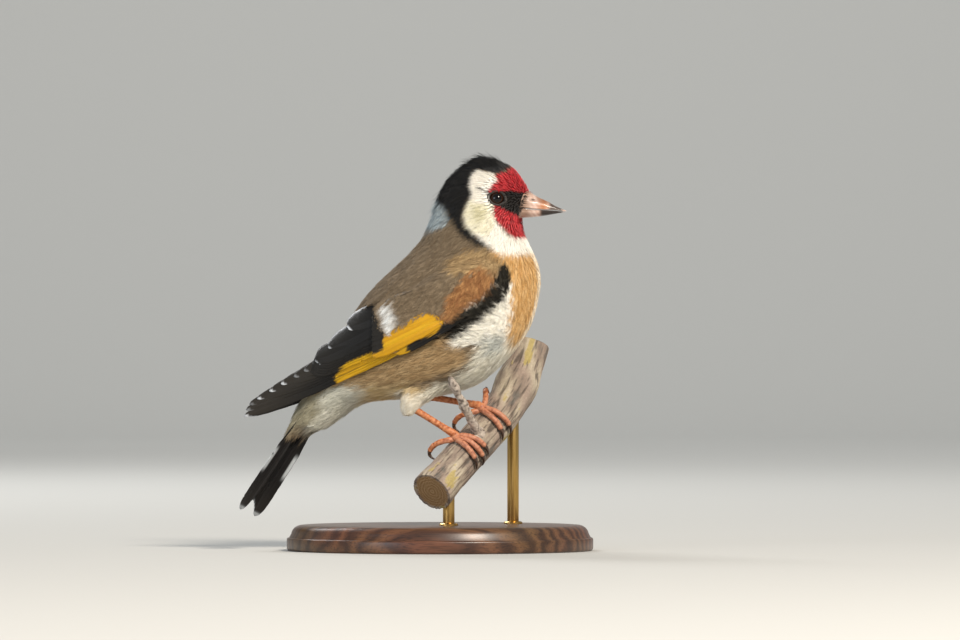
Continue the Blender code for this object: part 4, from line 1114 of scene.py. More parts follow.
def feather_piece(name, blocks, look):
    """One piece from batches of feathers."""
    points, faces, paint, bake = stacked(blocks)
    joined_mesh(name, points, faces, look, paint, bake)


def eye_distance(points):
    """Millimetres from the middle of the nearer eye."""
    upright = points @ TURN
    upright[:, 1] = np.abs(upright[:, 1])
    return np.linalg.norm(upright - EYE_CENTRE, axis=1) * 1000


def at_bill(points):
    """Whether places lie where the bill's base is bare, ahead of a slanting line."""
    x, _, z = (points @ TURN).T * 1000
    return (x > 22.4 + (z - 91.4) * 0.37) & (z > 90.2) & (z < 98.6)


def coat(flesh, whole, finishes):
    """The whole coat, laid over the flesh and on to the wings' front and the tail's base."""
    flesh_tree, whole_tree = tree_of(flesh), tree_of(whole)
    on_flesh = scattered(flesh, TRIES_ON_FLESH)
    on_wing = scattered(whole, TRIES_ON_WINGS)
    view = side_view(on_wing[0])
    off_flesh = np.array([flesh_tree.find_nearest(Vector(p))[3] for p in on_wing[0]])
    keep = (inside(view, SHOULDER) > -0.6) & (off_flesh > 0.0004)
    starts = np.concatenate([on_flesh[0], on_wing[0][keep]])
    second = np.arange(len(starts)) >= len(on_flesh[0])
    ways, sizes, rows = lie_at(starts)
    view = side_view(starts)
    cover = np.array([whole_tree.find_nearest(Vector(p))[3] for p in starts])
    hidden = ~second & (cover > 0.00045)
    deep = hidden & (np.maximum(inside(view, SHOULDER), inside(view, WING_BARE)) > 5.5)
    good = ~deep & (eye_distance(starts) > 2.45)
    good &= ~at_bill(starts)
    order = np.flatnonzero(good)
    gaps = sizes[:, 1] / 1000 * np.where(sizes[:, 0] < 2.0, 0.66, 0.36) + 0.00006
    kept = order[spaced(starts[order], gaps[order])]
    starts, ways, sizes, rows, hidden, second = (
        x[kept] for x in (starts, ways, sizes, rows, hidden, second)
    )
    lengths = sizes[:, 0] / 1000 * DICE.uniform(0.85, 1.15, len(kept))
    swing = DICE.uniform(-0.16, 0.16, len(kept)) * (0.6 + 1.2 * sizes[:, 2])
    (ahead, up), cos, sin = ways.T, np.cos(swing), np.sin(swing)
    ways = np.stack([ahead * cos - up * sin, ahead * sin + up * cos], -1)
    path = np.zeros((len(kept), STEPS, 3))
    normal = np.zeros_like(path)
    for tree, mine in ((flesh_tree, hidden), (whole_tree, ~hidden)):
        chosen = np.flatnonzero(mine)
        path[chosen], normal[chosen] = traced(tree, starts[chosen], lengths[chosen], ways[chosen])
    # Feathers that would reach over the bare wing are drawn shorter.
    over = np.maximum(0, inside(side_view(path[:, -1]), WING_BARE) - 0.5) / 1000
    short = np.flatnonzero(~hidden & (over > 0) & (np.abs((normal[:, -1] @ TURN)[:, 1]) > 0.3))
    lengths[short] = np.maximum(lengths[short] - 1.25 * over[short], 0.0014)
    path[short], normal[short] = traced(whole_tree, starts[short], lengths[short], ways[short])
    tips = side_view(path[:, -1])
    tip_lateral = np.abs((normal[:, -1] @ TURN)[:, 1]) > 0.3
    bare = tip_lateral & (inside(tips, WING_BARE) > 1.4) & ~hidden
    bare |= hidden & (np.maximum(inside(tips, WING_BARE), inside(tips, SHOULDER)) > 1.2)
    eyed = eye_distance(path[:, -1]) < 2.3
    stay = ~bare & ~eyed & ~at_bill(path[:, 2])
    path, normal, sizes, rows, starts = (x[stay] for x in (path, normal, sizes, rows, starts))
    label = np.array([row[6] for row in LIE])[rows]
    out = 0.05 + 0.30 * sizes[:, 2] * DICE.random(len(sizes))
    on_top = second[stay]
    out = out + 0.15 * on_top
    sizes[on_top, 3] = 0.4
    # The crown's feathers stand at uneven heights, so its outline is ragged.
    out = np.where(label == "crown", DICE.uniform(-0.75, 0.4, len(sizes)), out)
    beads = [bead_pattern(DICE) for _ in range(6)]
    small = [feather_pattern(DICE, 4, 0.66, 0.12) for _ in range(6)]
    plain = [feather_pattern(DICE, 7, 0.72, 0.12) for _ in range(8)]
    loose = [feather_pattern(DICE, 9, 0.5, 0.34) for _ in range(8)]
    for name in dict.fromkeys(row[6] for row in LIE):
        for half, suffix in ((-1, "right"), (1, "left")):
            near = (label == name) & (np.sign((starts @ TURN)[:, 1]) == half)
            blocks = []
            for patterns, chosen in (
                (beads, near & (sizes[:, 0] < 1.9)),
                (small, near & (sizes[:, 0] >= 1.9) & (sizes[:, 0] < 3.6)),
                (plain, near & (sizes[:, 0] >= 3.6) & (sizes[:, 2] < 0.45)),
                (loose, near & (sizes[:, 0] >= 3.6) & (sizes[:, 2] >= 0.45)),
            ):
                if chosen.any():
                    blocks += lay_feathers(
                        path[chosen], normal[chosen], sizes[chosen], patterns, out[chosen]
                    )
            look = finishes["face" if name == "face" else "plumage"]
            feather_piece(
                f"coat_{name}_{suffix}", blocks, look
            )
    return flesh_tree, whole_tree


def thinned(at, good, gap):
    """The good ones of some places, thinned until they keep a gap."""
    chosen = np.flatnonzero(good)
    return at[chosen[spaced(at[chosen], np.full(len(chosen), gap))]]


def tufts(tree, at, ways, reach, length, widths, depth, form):
    """Batches of path, normals, sizes and patterns for loose feathers at some places,
    from their least and greatest reach, sizes in mm and the numbers of their pattern."""
    count = len(at)
    path, normal = traced(tree, at, DICE.uniform(*reach, count), ways)
    wide = DICE.uniform(*widths, count)
    sizes = np.stack([np.full(count, length), wide, np.ones(count), np.full(count, depth)], -1)
    return path, normal, sizes, [feather_pattern(DICE, *form) for _ in range(6)]


def crest(tree, flesh, finishes):
    """Narrow raised feathers that make the outline of the crown and nape ragged."""
    at, _ = scattered(flesh, 60000)
    good = (inside(side_view(at), CREST) > 0) & (np.abs((at @ TURN)[:, 1]) < 0.0085)
    at = thinned(at, good, 0.00085)
    batch = tufts(tree, at, lie_at(at)[0], (0.0034, 0.0052), 4.2, (0.42, 0.8), 0.5, (3, 0.42, 0.4))
    blocks = lay_feathers(*batch, 0.2 + 1.5 * DICE.random(len(at)) ** 1.5)
    feather_piece("coat_crest", blocks, finishes["plumage"])


def wisps(tree, whole, finishes):
    """Loose white feathers of the side that fray over the wing's lower front edge."""
    at, facing = scattered(whole, 40000)
    good = (inside(side_view(at), WISPS) > 0) & (np.abs((facing @ TURN)[:, 1]) > 0.25)
    at = thinned(at, good, 0.0009)
    turn = np.radians(DICE.uniform(142, 186, len(at)))
    ways = np.stack([np.cos(turn), np.sin(turn)], -1)
    batch = tufts(tree, at, ways, (0.0044, 0.0074), 5.5, (1.3, 2.0), 0.6, (8, 0.4, 0.5))
    blocks = lay_feathers(*batch, DICE.uniform(0.3, 0.9, len(at)))
    feather_piece("coat_side_wisps", blocks, finishes["plumage"])


def skin(flesh, finishes):
    """One skin under the coat, in its colours, sunk by the coat's depth."""
    mesh = flesh.copy()
    mesh.name = "skin"
    points = places(mesh)
    _, sizes, _ = lie_at(points)
    points -= normals_of(mesh) * (sizes[:, 3] / 1000 * 0.95 + 0.00005)[:, None]
    moved(mesh, points)
    count = len(points)
    paint = plumage(points, DICE.random(count) * 0.3 + 0.35, np.zeros(count)) * 0.8
    near_eye = smooth((2.9 - eye_distance(points)) / 0.5)
    paint_mesh(mesh, laid_over(paint, "#191614", near_eye))
    mesh.shade_smooth()
    piece = show("skin", mesh, finishes["skin"])
    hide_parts(*FLESH)


# Flight feathers

WING_WRIST = (0.0178, 0.0774)
WING_LENGTH = 0.0820
WING_DROOP = math.radians(29.0)
WING_STANDOFF = (0.0128, 0.0164, 0.0178, 0.0172, 0.0152, 0.0120, 0.0084, 0.0054, 0.0036)
WING_CREST = (0.0000, -0.0015, -0.0040, -0.0055, -0.0070, -0.0084, -0.0075, -0.0045, -0.0020)
WING_TOP = (0.0245, 0.0220, 0.0180, 0.0152, 0.0122, 0.0085, 0.0066, 0.0055, 0.0048)
WING_LOWER_ROLL = 0.045
WING_UPPER_ROLL = (0.45, 0.35)
WING_DOME_CENTRE = (0.0165, -0.0012)
WING_DOME_REACH = (0.0185, 0.0088)
# Tiers of the folded wing: how many feathers, the courses of their roots and tips
# (s, h), heights over the wing's surface, widths, bows and where the tip rounds.
WING_TIERS = {
    "primaries": (
        9, ((0.0225, -0.0070), (0.0225, -0.0022)),
        (
            (0.0775, -0.0009), (0.0823, -0.0008), (0.0810, 0.0004), (0.0794, 0.0012),
            (0.0767, 0.0014), (0.0726, 0.0015), (0.0687, 0.0015), (0.0644, 0.0014), (0.0610, 0.0013)
        ),
        (0.0002, 0.00116), (0.0, 0.00096), (0.0036, 0.0044, 0.0046, 0.0046), (-0.0007, -0.0003),
        0.62
    ),
    "secondaries": (
        6, ((0.0250, -0.0034), (0.0250, 0.0002)), ((0.0592, 0.0002), (0.0560, 0.0022)),
        (0.0010, 0.00148), (0.0010, 0.00148), (0.0054, 0.0054), (-0.0004, -0.0004), 0.84
    ),
    "tertials": (
        3, ((0.0260, 0.0008), (0.0260, 0.0032)),
        ((0.0560, 0.0018), (0.0515, 0.0030), (0.0438, 0.0052)), (0.0016, 0.0020), (0.0013, 0.0017),
        (0.0060, 0.0060), (0.0, 0.0), 0.66
    ),
    "primary coverts": (
        7, ((0.0120, -0.0064), (0.0144, -0.0032)), ((0.0352, -0.0072), (0.0288, -0.0024)),
        (0.0013, 0.0021), (0.0013, 0.0021), (0.0032, 0.0032), (-0.0004, -0.0004), 0.70
    ),
    "greater coverts": (
        10, ((0.0190, -0.0058), (0.0210, 0.0040)), ((0.0410, -0.0048), (0.0348, 0.0056)),
        (0.0018, 0.0020, 0.0018), (0.0022, 0.0024, 0.0022), (0.0032, 0.0032), (0.0, 0.0), 0.74
    ),
}
YELLOW = [
    (-12.3, 61.0), (-10.1, 63.7), (-6.9, 65.9), (-1.9, 66.4), (1.6, 64.8), (0.8, 62.6), (0.0, 61.0),
    (-1.4, 59.3), (-3.6, 58.5), (-6.9, 57.7), (-9.3, 56.3), (-9.0, 54.9), (-4.7, 54.4),
    (-10.4, 51.4), (-14.5, 50.0), (-28.2, 45.9), (-29.0, 47.8), (-25.5, 51.1), (-15.6, 55.2),
    (-15.3, 57.7), (-14.8, 59.6)
]


def wing_standoff(s, h):
    """How far out the right wing's surface stands at places along it and up it."""
    share = s / WING_LENGTH
    crest = course(WING_CREST, share)
    widest = course(WING_STANDOFF, share)
    rise = h - crest
    low = widest - rise**2 / (2 * WING_LOWER_ROLL)
    rolled = np.minimum(1.0, np.maximum(rise, 0) / (course(WING_TOP, share) - crest))
    first, last = WING_UPPER_ROLL
    return np.where(rise < 0, low, widest * (1 - first * rolled**2 - last * rolled**4))


def wing_point(s, h, level):
    """Points of the right wing at places on it and heights over its surface."""
    s, h, level = (np.asarray(x, float) for x in (s, h, level))
    step = 0.0002
    y = wing_standoff(s, h)
    slope_s = (wing_standoff(s + step, h) - y) / step
    slope_h = (wing_standoff(s, h + step) - y) / step
    along = np.array([-math.cos(WING_DROOP), 0, -math.sin(WING_DROOP)])
    above = np.array([-math.sin(WING_DROOP), 0, math.cos(WING_DROOP)])
    outward = units(
        np.array([0.0, -1, 0]) - along * slope_s[..., None] - above * slope_h[..., None]
    )
    middle = np.array(
        [WING_WRIST[0], 0, WING_WRIST[1]]
    ) + along * s[..., None] + above * h[..., None]
    middle[..., 1] -= y
    return middle + outward * level[..., None]


TAIL_ROOT = (-0.0369, 0.0365)
TAIL_DROOP = math.radians(56.5)
TAIL_ROLL = math.radians(34.0)
TAIL_LENGTH = 0.0274
TAIL_FORK = 0.0036
TAIL_PAIRS = 6
TAIL_HOLLOW = 12.0


def tail_point(s, across, level):
    """Points of the tail at places along and across it and heights over it."""
    s, across, level = (np.asarray(x, float)[..., None] for x in (s, across, level))
    along = np.array([-math.cos(TAIL_DROOP), 0, -math.sin(TAIL_DROOP)])
    back = np.array([-math.sin(TAIL_DROOP), 0, math.cos(TAIL_DROOP)])
    left = np.array([0.0, 1, 0])
    rolled_left = left * math.cos(TAIL_ROLL) - back * math.sin(TAIL_ROLL)
    rolled_back = back * math.cos(TAIL_ROLL) + left * math.sin(TAIL_ROLL)
    root = np.array([TAIL_ROOT[0], 0, TAIL_ROOT[1]])
    return root + along * s + rolled_left * across + rolled_back * (level - TAIL_HOLLOW * across**2)


def vane(surface, root, tip, width, bow, levels, blunt, rows, columns, side=1, slits=2):
    """A flight feather as a thin closed plate: its points, the share along each, how
    far across (-1 to 1), whether it is on top, and the run of its barbs in mm."""
    root, tip = np.array(root), np.array(tip)
    length = np.linalg.norm(tip - root)
    along = (tip - root) / length
    across = np.array([-along[1], along[0]])
    share = np.linspace(0, 1, rows + 1) ** 0.9
    place = np.linspace(-1, 1, columns + 1)
    place = np.sign(place) * np.abs(place) ** 0.9
    ring = np.concatenate([place, place[::-1]])
    top = np.concatenate([np.ones(columns + 1), np.zeros(columns + 1)])
    u, p = np.meshgrid(share, ring, indexing="ij")
    over = np.broadcast_to(top, u.shape)
    full = np.minimum(1.0, 0.5 + 1.6 * u)
    end = np.maximum(0.0, (u - blunt) / (1 - blunt))
    half = width / 2 * full * (0.06 + 0.94 * np.sqrt(np.maximum(0.0, 1 - end**2)))
    # Slits where the barbs have parted, and a slightly uneven edge.
    for _ in range(slits):
        where, edge, deep = DICE.uniform(0.35, 0.96), DICE.choice((-1, 1)), DICE.uniform(0.12, 0.4)
        gap = np.exp(-(((u - where) * length * 1000 - 0.9 * np.abs(p)) / 0.16) ** 2)
        half = half * (1 - deep * gap * np.maximum(0, p * edge) ** 3)
    wave = DICE.uniform(0, 6.28)
    half = half * (
        1 + 0.018 * np.sin(u * 41 + wave) * np.abs(p) + 0.012 * np.sin(u * 97 + 2 * wave)
    )
    sag = bow * 4 * u * (1 - u)
    off = sag + half * p
    thick = 0.00012 * (1 - 0.55 * np.abs(p) ** 2)
    lift = np.where(over > 0.5, 0.0, -thick)
    ridge = 0.00010 * np.exp(-(((p + 0.25 * side) * half) / 0.00022) ** 2) * (1 - 0.6 * u) * over
    camber = -0.00009 * p**2 - 0.00010 * np.maximum(0, -p * side)
    level = levels[0] + (levels[1] - levels[0]) * u + lift + ridge + camber
    s = root[0] + along[0] * length * u + across[0] * off
    h = root[1] + along[1] * length * u + across[1] * off
    if surface is wing_point:
        # The plates' roots dip under the small feathers of the shoulder.
        level = level - 0.0009 * smooth(
            (inside(side_view(surface(s, h, level) @ TURN.T), SHOULDER) + 0.3) / 1.2
        )
    barb = u * length * 1000 + np.abs(off + 0.25 * side * half) * 1000 * -1.1
    count = len(ring)
    rung = np.arange(rows)[:, None] * count
    k = np.arange(count)
    after = (k + 1) % count
    sides = np.stack(
        [rung + k, rung + count + k, rung + count + after, rung + after], -1
    ).reshape(-1, 4)
    c = np.arange(columns)
    cap = np.stack([c, c + 1, count - 2 - c, count - 1 - c], -1)
    faces = np.concatenate([sides, cap, cap[:, ::-1] + rows * count])
    return {
        "points": surface(s, h, level).reshape(-1, 3), "faces": faces, "share": u.ravel(),
        "across": (p * side).ravel(), "top": over.ravel(), "barb": barb.ravel(), "length": length
    }


def outward_faces(points, faces):
    """Faces of one closed plate, all turned if it is inside out."""
    a, b, c, d = (points[faces[:, k]] for k in range(4))
    middle = points.mean(0)
    volume = (
        np.cross(b - a, c - a) * (a - middle)
    ).sum() + (np.cross(c - a, d - a) * (a - middle)).sum()
    return faces if volume > 0 else faces[:, ::-1]


def wing_paint(kind, number, plate):
    """Colours of a wing feather: black, with the yellow patch and bar and pale tips."""
    u, p = plate["share"], plate["across"]
    points = plate["points"] @ TURN.T
    view = side_view(points) + DICE.uniform(-0.35, 0.35, 2) + 0.18 * np.sin(
        plate["barb"] * 9.0
    )[:, None]
    colour = np.repeat(np.array(linear("#0E0D0C"))[None], len(u), 0)
    worn = smooth((u - 0.55) / 0.4) * (0.55 if kind == "primaries" else 0.2)
    colour = laid_over(colour, "#3A342B", worn)
    yellow = shades("#C8900A", "#E3B416", np.full(len(u), DICE.random()))
    share = smooth(inside(view, YELLOW) / 0.5 + 0.5) if kind != "tertials" else np.zeros(len(u))
    shaft = np.exp(-(((p + 0.25) * 2.2) / 0.16) ** 2)
    share = (share * (1 - (0.7 if kind == "primaries" else 0.15) * shaft))[:, None]
    colour = colour * (1 - share) + yellow * share
    if kind in ("primaries", "secondaries", "tertials"):
        size = {"primaries": 1.7, "secondaries": 1.0, "tertials": 1.3}[kind]
        from_tip = (1 - u) * plate["length"] * 1000
        edge = smooth((size - from_tip + 0.8 * (-p) - 0.5) / 0.7)
        if kind == "tertials":
            edge = np.maximum(edge, smooth((p - 0.78) / 0.14) * smooth((u - 0.6) / 0.2) * 0.8)
        if kind == "secondaries":
            edge = edge * (0.8 if number == 4 else 0.0)
        if kind == "primaries":
            edge = edge * (0.15, 0.9, 0.3, 0.2, 0.9, 0.9, 0.9, 0.3, 0.3)[number]
        colour = laid_over(colour, "#E6EAEE", edge)
    return colour * DICE.uniform(0.9, 1.1)


def plates_piece(name, plates, paints, look, flip=False):
    """One piece from many plates, each with its own small place on the bake map."""
    blocks = []
    grid = math.ceil(math.sqrt(len(plates)))
    for number, (plate, colour) in enumerate(zip(plates, paints)):
        at = plate["points"] * ([1, -1, 1] if flip else [1, 1, 1])
        cell = np.array([number % grid, number // grid]) / grid
        local = np.stack([plate["share"], (plate["across"] + 1) / 4 + 0.5 * plate["top"]], -1)
        faces = outward_faces(at, plate["faces"])
        blocks.append((at @ TURN.T, faces, colour, cell + local * 0.9 / grid, plate["barb"]))
    points, faces, paint, bake, barb = stacked(blocks)
    return joined_mesh(name, points, faces, look, paint, bake, {"barb": barb})


def wings(finishes):
    """Both wings: plates of feathers over the low dome of the folded arm."""
    plates, paints = [], []
    for kind, (
        count, roots, tips, root_levels, tip_levels, widths, bows, blunt
    ) in WING_TIERS.items():
        fine = kind in ("primaries", "secondaries", "tertials")
        for i in range(count):
            share = i / (count - 1)
            levels = (straight(root_levels, share), straight(tip_levels, share))
            root, tip, width, bow = (straight(rows, share) for rows in (roots, tips, widths, bows))
            rows, columns, slits = (70, 10, 3) if fine else (36, 8, 1)
            plate = vane(
                wing_point, root, tip, width, bow, levels, blunt, rows, columns, slits=slits
            )
            plates.append(plate)
            paints.append(wing_paint(kind, i, plate))
    core = arm_dome()
    for side, flip in (("right", False), ("left", True)):
        piece = plates_piece(
            f"wing_feathers_{side}", plates, paints, finishes["vane"], flip
        )
        dome = core.copy()
        points = places(dome) * ([1, -1, 1] if flip else [1, 1, 1]) @ TURN.T
        if flip:
            dome.flip_normals()
        moved(dome, points)
        view = side_view(points)
        colour = plumage(points, np.full(len(points), 0.5), np.zeros(len(points))) * 0.8
        lower = (np.maximum(inside(view, WING_BARE), 0) > 0)[:, None]
        colour = np.where(lower, np.array(linear("#14120F")), colour)
        paint_mesh(dome, colour)
        show(f"wing_arm_{side}", dome, finishes["skin"])
        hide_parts(f"wing_{side}")


def arm_dome():
    """The folded arm under its small feathers: a low dome over the wing's front."""
    reach = (1.0, 1.0, 0.90, 0.68, 0.36, 0.02)
    level = (-0.0035, -0.0016, 0.0000, 0.0011, 0.0016, 0.0018)

    def where(u, w):
        out = np.interp(u, np.linspace(0, 1, 6), reach)
        lift = np.interp(u, np.linspace(0, 1, 6), level)
        turn = 2 * math.pi * w
        s = WING_DOME_CENTRE[0] + WING_DOME_REACH[0] * out * np.cos(turn)
        h = WING_DOME_CENTRE[1] + WING_DOME_REACH[1] * out * np.sin(turn)
        return wing_point(s, h, lift)

    return from_bmesh(wrapped(24, 60, where), "arm")


def tail(finishes):
    """The folded tail: pairs of feathers that lie over one another."""
    plates, paints = [], []
    for i in range(TAIL_PAIRS):
        share = i / (TAIL_PAIRS - 1)
        for side in (-1, 1):
            root = (0.0010, side * (0.0005 + 0.0022 * share))
            tip = (TAIL_LENGTH + TAIL_FORK * share**1.6, side * (0.0007 + 0.0027 * share))
            level = 0.0006 - 0.00024 * i + 0.00012 * side
            plate = vane(
                tail_point, root, tip, 0.0040, 0.0002 * side, (level, level), 0.84, 60, 10, side, 3
            )
            plates.append(plate)
            paints.append(tail_paint(i, plate))
    piece = plates_piece("tail_feathers", plates, paints, finishes["vane"])
    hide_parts("tail")


def tail_paint(number, plate):
    """Tail feathers: black, white on the outer ones' inner webs and at the tips."""
    u, p = plate["share"], plate["across"]
    colour = np.repeat(np.array(linear("#0F0E0E"))[None], len(u), 0)
    colour = laid_over(colour, "#332E27", smooth((u - 0.6) / 0.4) * 0.35)
    from_tip = (1 - u) * plate["length"] * 1000
    edge = smooth((1.5 - from_tip) / 0.6) * (0.25, 0.3, 0.5, 0.8, 0.9, 0.5)[number]
    if number == 5:
        patch = smooth((u - 0.30) / 0.08) * smooth((0.62 - u) / 0.10) * smooth((p - 0.25) / 0.25)
        edge = np.maximum(edge, patch * 0.85)
    return laid_over(colour, "#D9E1E6", edge) * DICE.uniform(0.92, 1.08)


# Eyes, lids and bill


def globe(u, w):
    """Unit directions of a globe, from pole to pole and round it."""
    angle, turn = math.pi * u, 2 * math.pi * w
    return np.stack([np.sin(angle) * np.cos(turn), np.sin(angle) * np.sin(turn), np.cos(angle)], -1)


def eyes(finishes):
    """Eyeballs with a slightly bulging cornea, each in a ring of beaded lid skin."""
    for side, sign in (("right", -1), ("left", 1)):
        centre, out, rim = (
            np.array(place) * [1, sign, 1] for place in (EYE_CENTRE, EYE_FACING, EYE_RIM)
        )
        ahead = units(np.array([1.0, 0, -0.25]) - out * out[0] + out * 0.25 * out[2])
        up = np.cross(out, ahead)

        def ball(u, w):
            local = globe(u, w)
            reach = EYE_RADIUS * (1 + 0.035 * np.exp(-((math.pi * u / 0.62) ** 2)))
            place = local[:, :1] * ahead + local[:, 1:2] * up + local[:, 2:] * out
            return (centre + place * reach[:, None]) @ TURN.T

        mesh = from_bmesh(wrapped(48, 64, ball), "eye")
        away = units(places(mesh) @ TURN - centre) @ out
        angle = np.degrees(np.arccos(np.clip(away, -1, 1)))
        iris = shades("#060505", "#2C180C", smooth((angle - 31) / 4))
        paint_mesh(mesh, laid_over(iris, "#1A120D", smooth((angle - 47) / 6)))
        piece = show(f"eyeball_{side}", mesh, finishes["eye"])
        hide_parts(f"eye_{side}")

        def lid(u, w):
            turn, round_ = 2 * math.pi * u, 2 * math.pi * w
            bead = 1 + 0.16 * np.sin(turn * 17) * np.cos(round_ / 2) ** 2
            thick = 0.00036 * bead
            radius = 0.00196 + thick * np.cos(round_)
            rise = 0.00004 + thick * 0.95 * np.sin(round_)
            # The corners of the eye are drawn out a little, the front one downwards.
            stretch = 1.12 + 0.10 * np.abs(np.cos(turn)) ** 6
            x = np.cos(turn) * radius * stretch
            y = np.sin(turn) * radius * 0.97
            sink = 0.00018 * np.cos(turn) ** 2
            return (
                rim + x[:, None] * ahead + y[:, None] * up + (rise - sink)[:, None] * out
            ) @ TURN.T

        ring = from_bmesh(wrapped(136, 14, lid), "lid")
        paint_mesh(ring, shades("#1C1815", "#3A322C", DICE.random(len(ring.vertices))))
        show(f"eyelid_{side}", ring, finishes["lid"])


# Along the bill: the culmen, the mouth's line and the lower edge (forward, up), and
# half the width.
BILL_STATIONS = (
    (0.0226, 0.0990, 0.0210, 0.0938, 0.0200, 0.0904, 0.0050),
    (0.0240, 0.0986, 0.0224, 0.0937, 0.0212, 0.0907, 0.0044),
    (0.0250, 0.0981, 0.0236, 0.0937, 0.0226, 0.0911, 0.0035),
    (0.0271, 0.0968, 0.0262, 0.0934, 0.0256, 0.0913, 0.0027),
    (0.0297, 0.0956, 0.0292, 0.0933, 0.0289, 0.0917, 0.0020),
    (0.0324, 0.0941, 0.0321, 0.0931, 0.0319, 0.0922, 0.0012),
    (0.0350, 0.0930, 0.0347, 0.0928, 0.0341, 0.0926, 0.0003),
)
NOSTRIL = (0.0259, 0.0960)


def bill(finishes):
    """Both halves of the bill, each with its arch and a flat side to the mouth."""
    for upper in (True, False):

        def where(u, w):
            row = course(BILL_STATIONS, u)
            rx, rz, mx, mz, lx, lz, half = row.T
            gap = 0.00008 if upper else -0.00008
            mouth = np.stack([mx, np.zeros_like(mx), mz + gap], -1)
            rim = np.stack([rx, 0 * rx, rz], -1) if upper else np.stack([lx, 0 * lx, lz], -1)
            half = half * (1.0 if upper else 0.93)
            # Three quarters of the ring is the arch, and the rest the mouth's flat.
            arch = np.clip(w / 0.75, 0, 1)
            flat = np.clip((w - 0.75) / 0.25, 0, 1)
            angle = math.pi * arch
            rise = np.abs(np.sin(angle)) ** (0.8 if upper else 0.85)
            # The cutting edge is a fine lip, with a shallow furrow above it.
            furrow = 1 - 0.05 * np.exp(-(((rise - 0.22) / 0.09) ** 2))
            side = np.where(w <= 0.75, np.cos(angle), -1 + 2 * flat) * furrow
            rise = np.where(w <= 0.75, rise, 0)
            point = mouth + (rim - mouth) * rise[:, None]
            point[:, 1] += half * side
            if upper:
                near = np.exp(
                    -(
                        ((point[:, 0] - NOSTRIL[0]) / 0.0005) ** 2
                        + ((point[:, 2] - NOSTRIL[1]) / 0.0003) ** 2
                    )
                )
                point[:, 1] -= np.sign(point[:, 1]) * 0.0006 * near
            return point

        mesh = from_bmesh(wrapped(90, 64, where), "bill")
        points = places(mesh)
        x, z = points[:, 0] * 1000, points[:, 2] * 1000
        line = np.interp(x, [22, 26.2, 29.2, 32.1, 34.7], [94.0, 93.4, 93.3, 93.1, 92.8])
        colour = shades("#CFAE9E", "#E2C9BA", 0.5 + 0.5 * np.sin(x * 5.0 + z * 3))
        colour = laid_over(colour, "#A98B78", smooth((26.5 - x) / 2.5))
        colour = laid_over(
            colour, "#B4703F", np.exp(-(((x - 28.8) / 1.6) ** 2)) * (0.9 if upper else 0.4)
        )
        dark = smooth(
            (x - (29.6 if upper else 27.2)) / 1.4
        ) * smooth((34.4 - x) / 0.9) * (0.88 if upper else 0.97)
        culmen = smooth((z - line - 1.2) / 0.8) * smooth((x - 25.5) / 2) * 0.35 if upper else 0 * x
        colour = laid_over(colour, "#1A1310", np.maximum(dark, culmen))
        colour = laid_over(colour, "#4A3629", np.exp(-(((z - line) / 0.16) ** 2)) * 0.6)
        if upper:
            # The nostril is painted nearly black: painted shade in its hollow.
            pit = np.exp(
                -(((x - NOSTRIL[0] * 1000) / 0.42) ** 2 + ((z - NOSTRIL[1] * 1000) / 0.26) ** 2)
            )
            colour = laid_over(colour, "#1D1310", pit)
        moved(mesh, points @ TURN.T)
        paint_mesh(mesh, colour)
        name = "upper" if upper else "lower"
        piece = show(f"bill_horn_{name}", mesh, finishes["bill"])
        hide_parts(f"bill_{name}")


def bill_bristles(finishes):
    """Short stiff bristles that lie forward over the bill's base and its nostrils."""
    blocks = []
    patch = np.array([[0, 0], [BAKE_PATCH, 0], [0, BAKE_PATCH], [BAKE_PATCH, BAKE_PATCH]])
    for k in range(90):
        side = DICE.choice((-1, 1))
        height = DICE.uniform(-1, 1)
        z = 0.0945 + 0.0040 * height
        x = 0.0234 + 0.0014 * height - 0.0006 * DICE.random()
        start = np.array(
            [x, side * (0.0044 * math.sqrt(max(0.05, 1 - (0.9 * height) ** 2)) + 0.0001), z]
        )
        reach = DICE.uniform(0.0008, 0.0018) * (1.0 if height > -0.2 else 0.6)
        ahead = units(np.array([1.0, side * -0.30, -0.28 * height + DICE.uniform(-0.15, 0.15)]))
        across = units(np.cross(ahead, [0, side, 0.2])) * 0.00007
        over = units(np.cross(across, ahead)) * 0.00007
        points = np.array(
            [start - across, start + across, start + over, start + ahead * reach]
        ) @ TURN.T
        tone = "#14110F" if abs(height) < 0.75 else "#8C2F28"
        paint = np.repeat(np.array(linear(tone))[None], 4, 0)
        blocks.append(
            (
                points, np.array(SLIVER), paint,
                patch + [0.01 + 0.004 * (k % 40), 0.01 + 0.004 * (k // 40)]
            )
        )
    points, faces, paint, bake = stacked(blocks)
    points, faces = turned_out(points, faces)
    joined_mesh("bill_bristles", points, faces, finishes["face"], paint, bake)


# Perch

PERCH_DIRECTION = units(np.array([0.510, 0.650, 0.560]))
PERCH_POINT = np.array([0.0065, -0.0018, 0.0258])
PERCH_RADIUS = 0.0052
PERCH_FROM = -0.017
PERCH_TO = 0.042
PERCH_BEND_FROM = 0.014
PERCH_BEND = 11.0
PERCH_UP = units(np.array([0.0, 0, 1]) - PERCH_DIRECTION * PERCH_DIRECTION[2])
PERCH_SIDE = np.cross(PERCH_DIRECTION, PERCH_UP)
PERCH_SWELLINGS = ((0.030, 0.0009, 0.0045), (-0.017, 0.0006, 0.0060))
SPUR_ROOT = np.array([0.0112, 0.0000, 0.0305])
SPUR_TIP = np.array([0.0028, -0.0152, 0.0473])
SPUR_RADII = (0.0018, 0.00150, 0.0013, 0.0011, 0.00115, 0.0014, 0.0010, 0.00105, 0.00125, 0.0007)


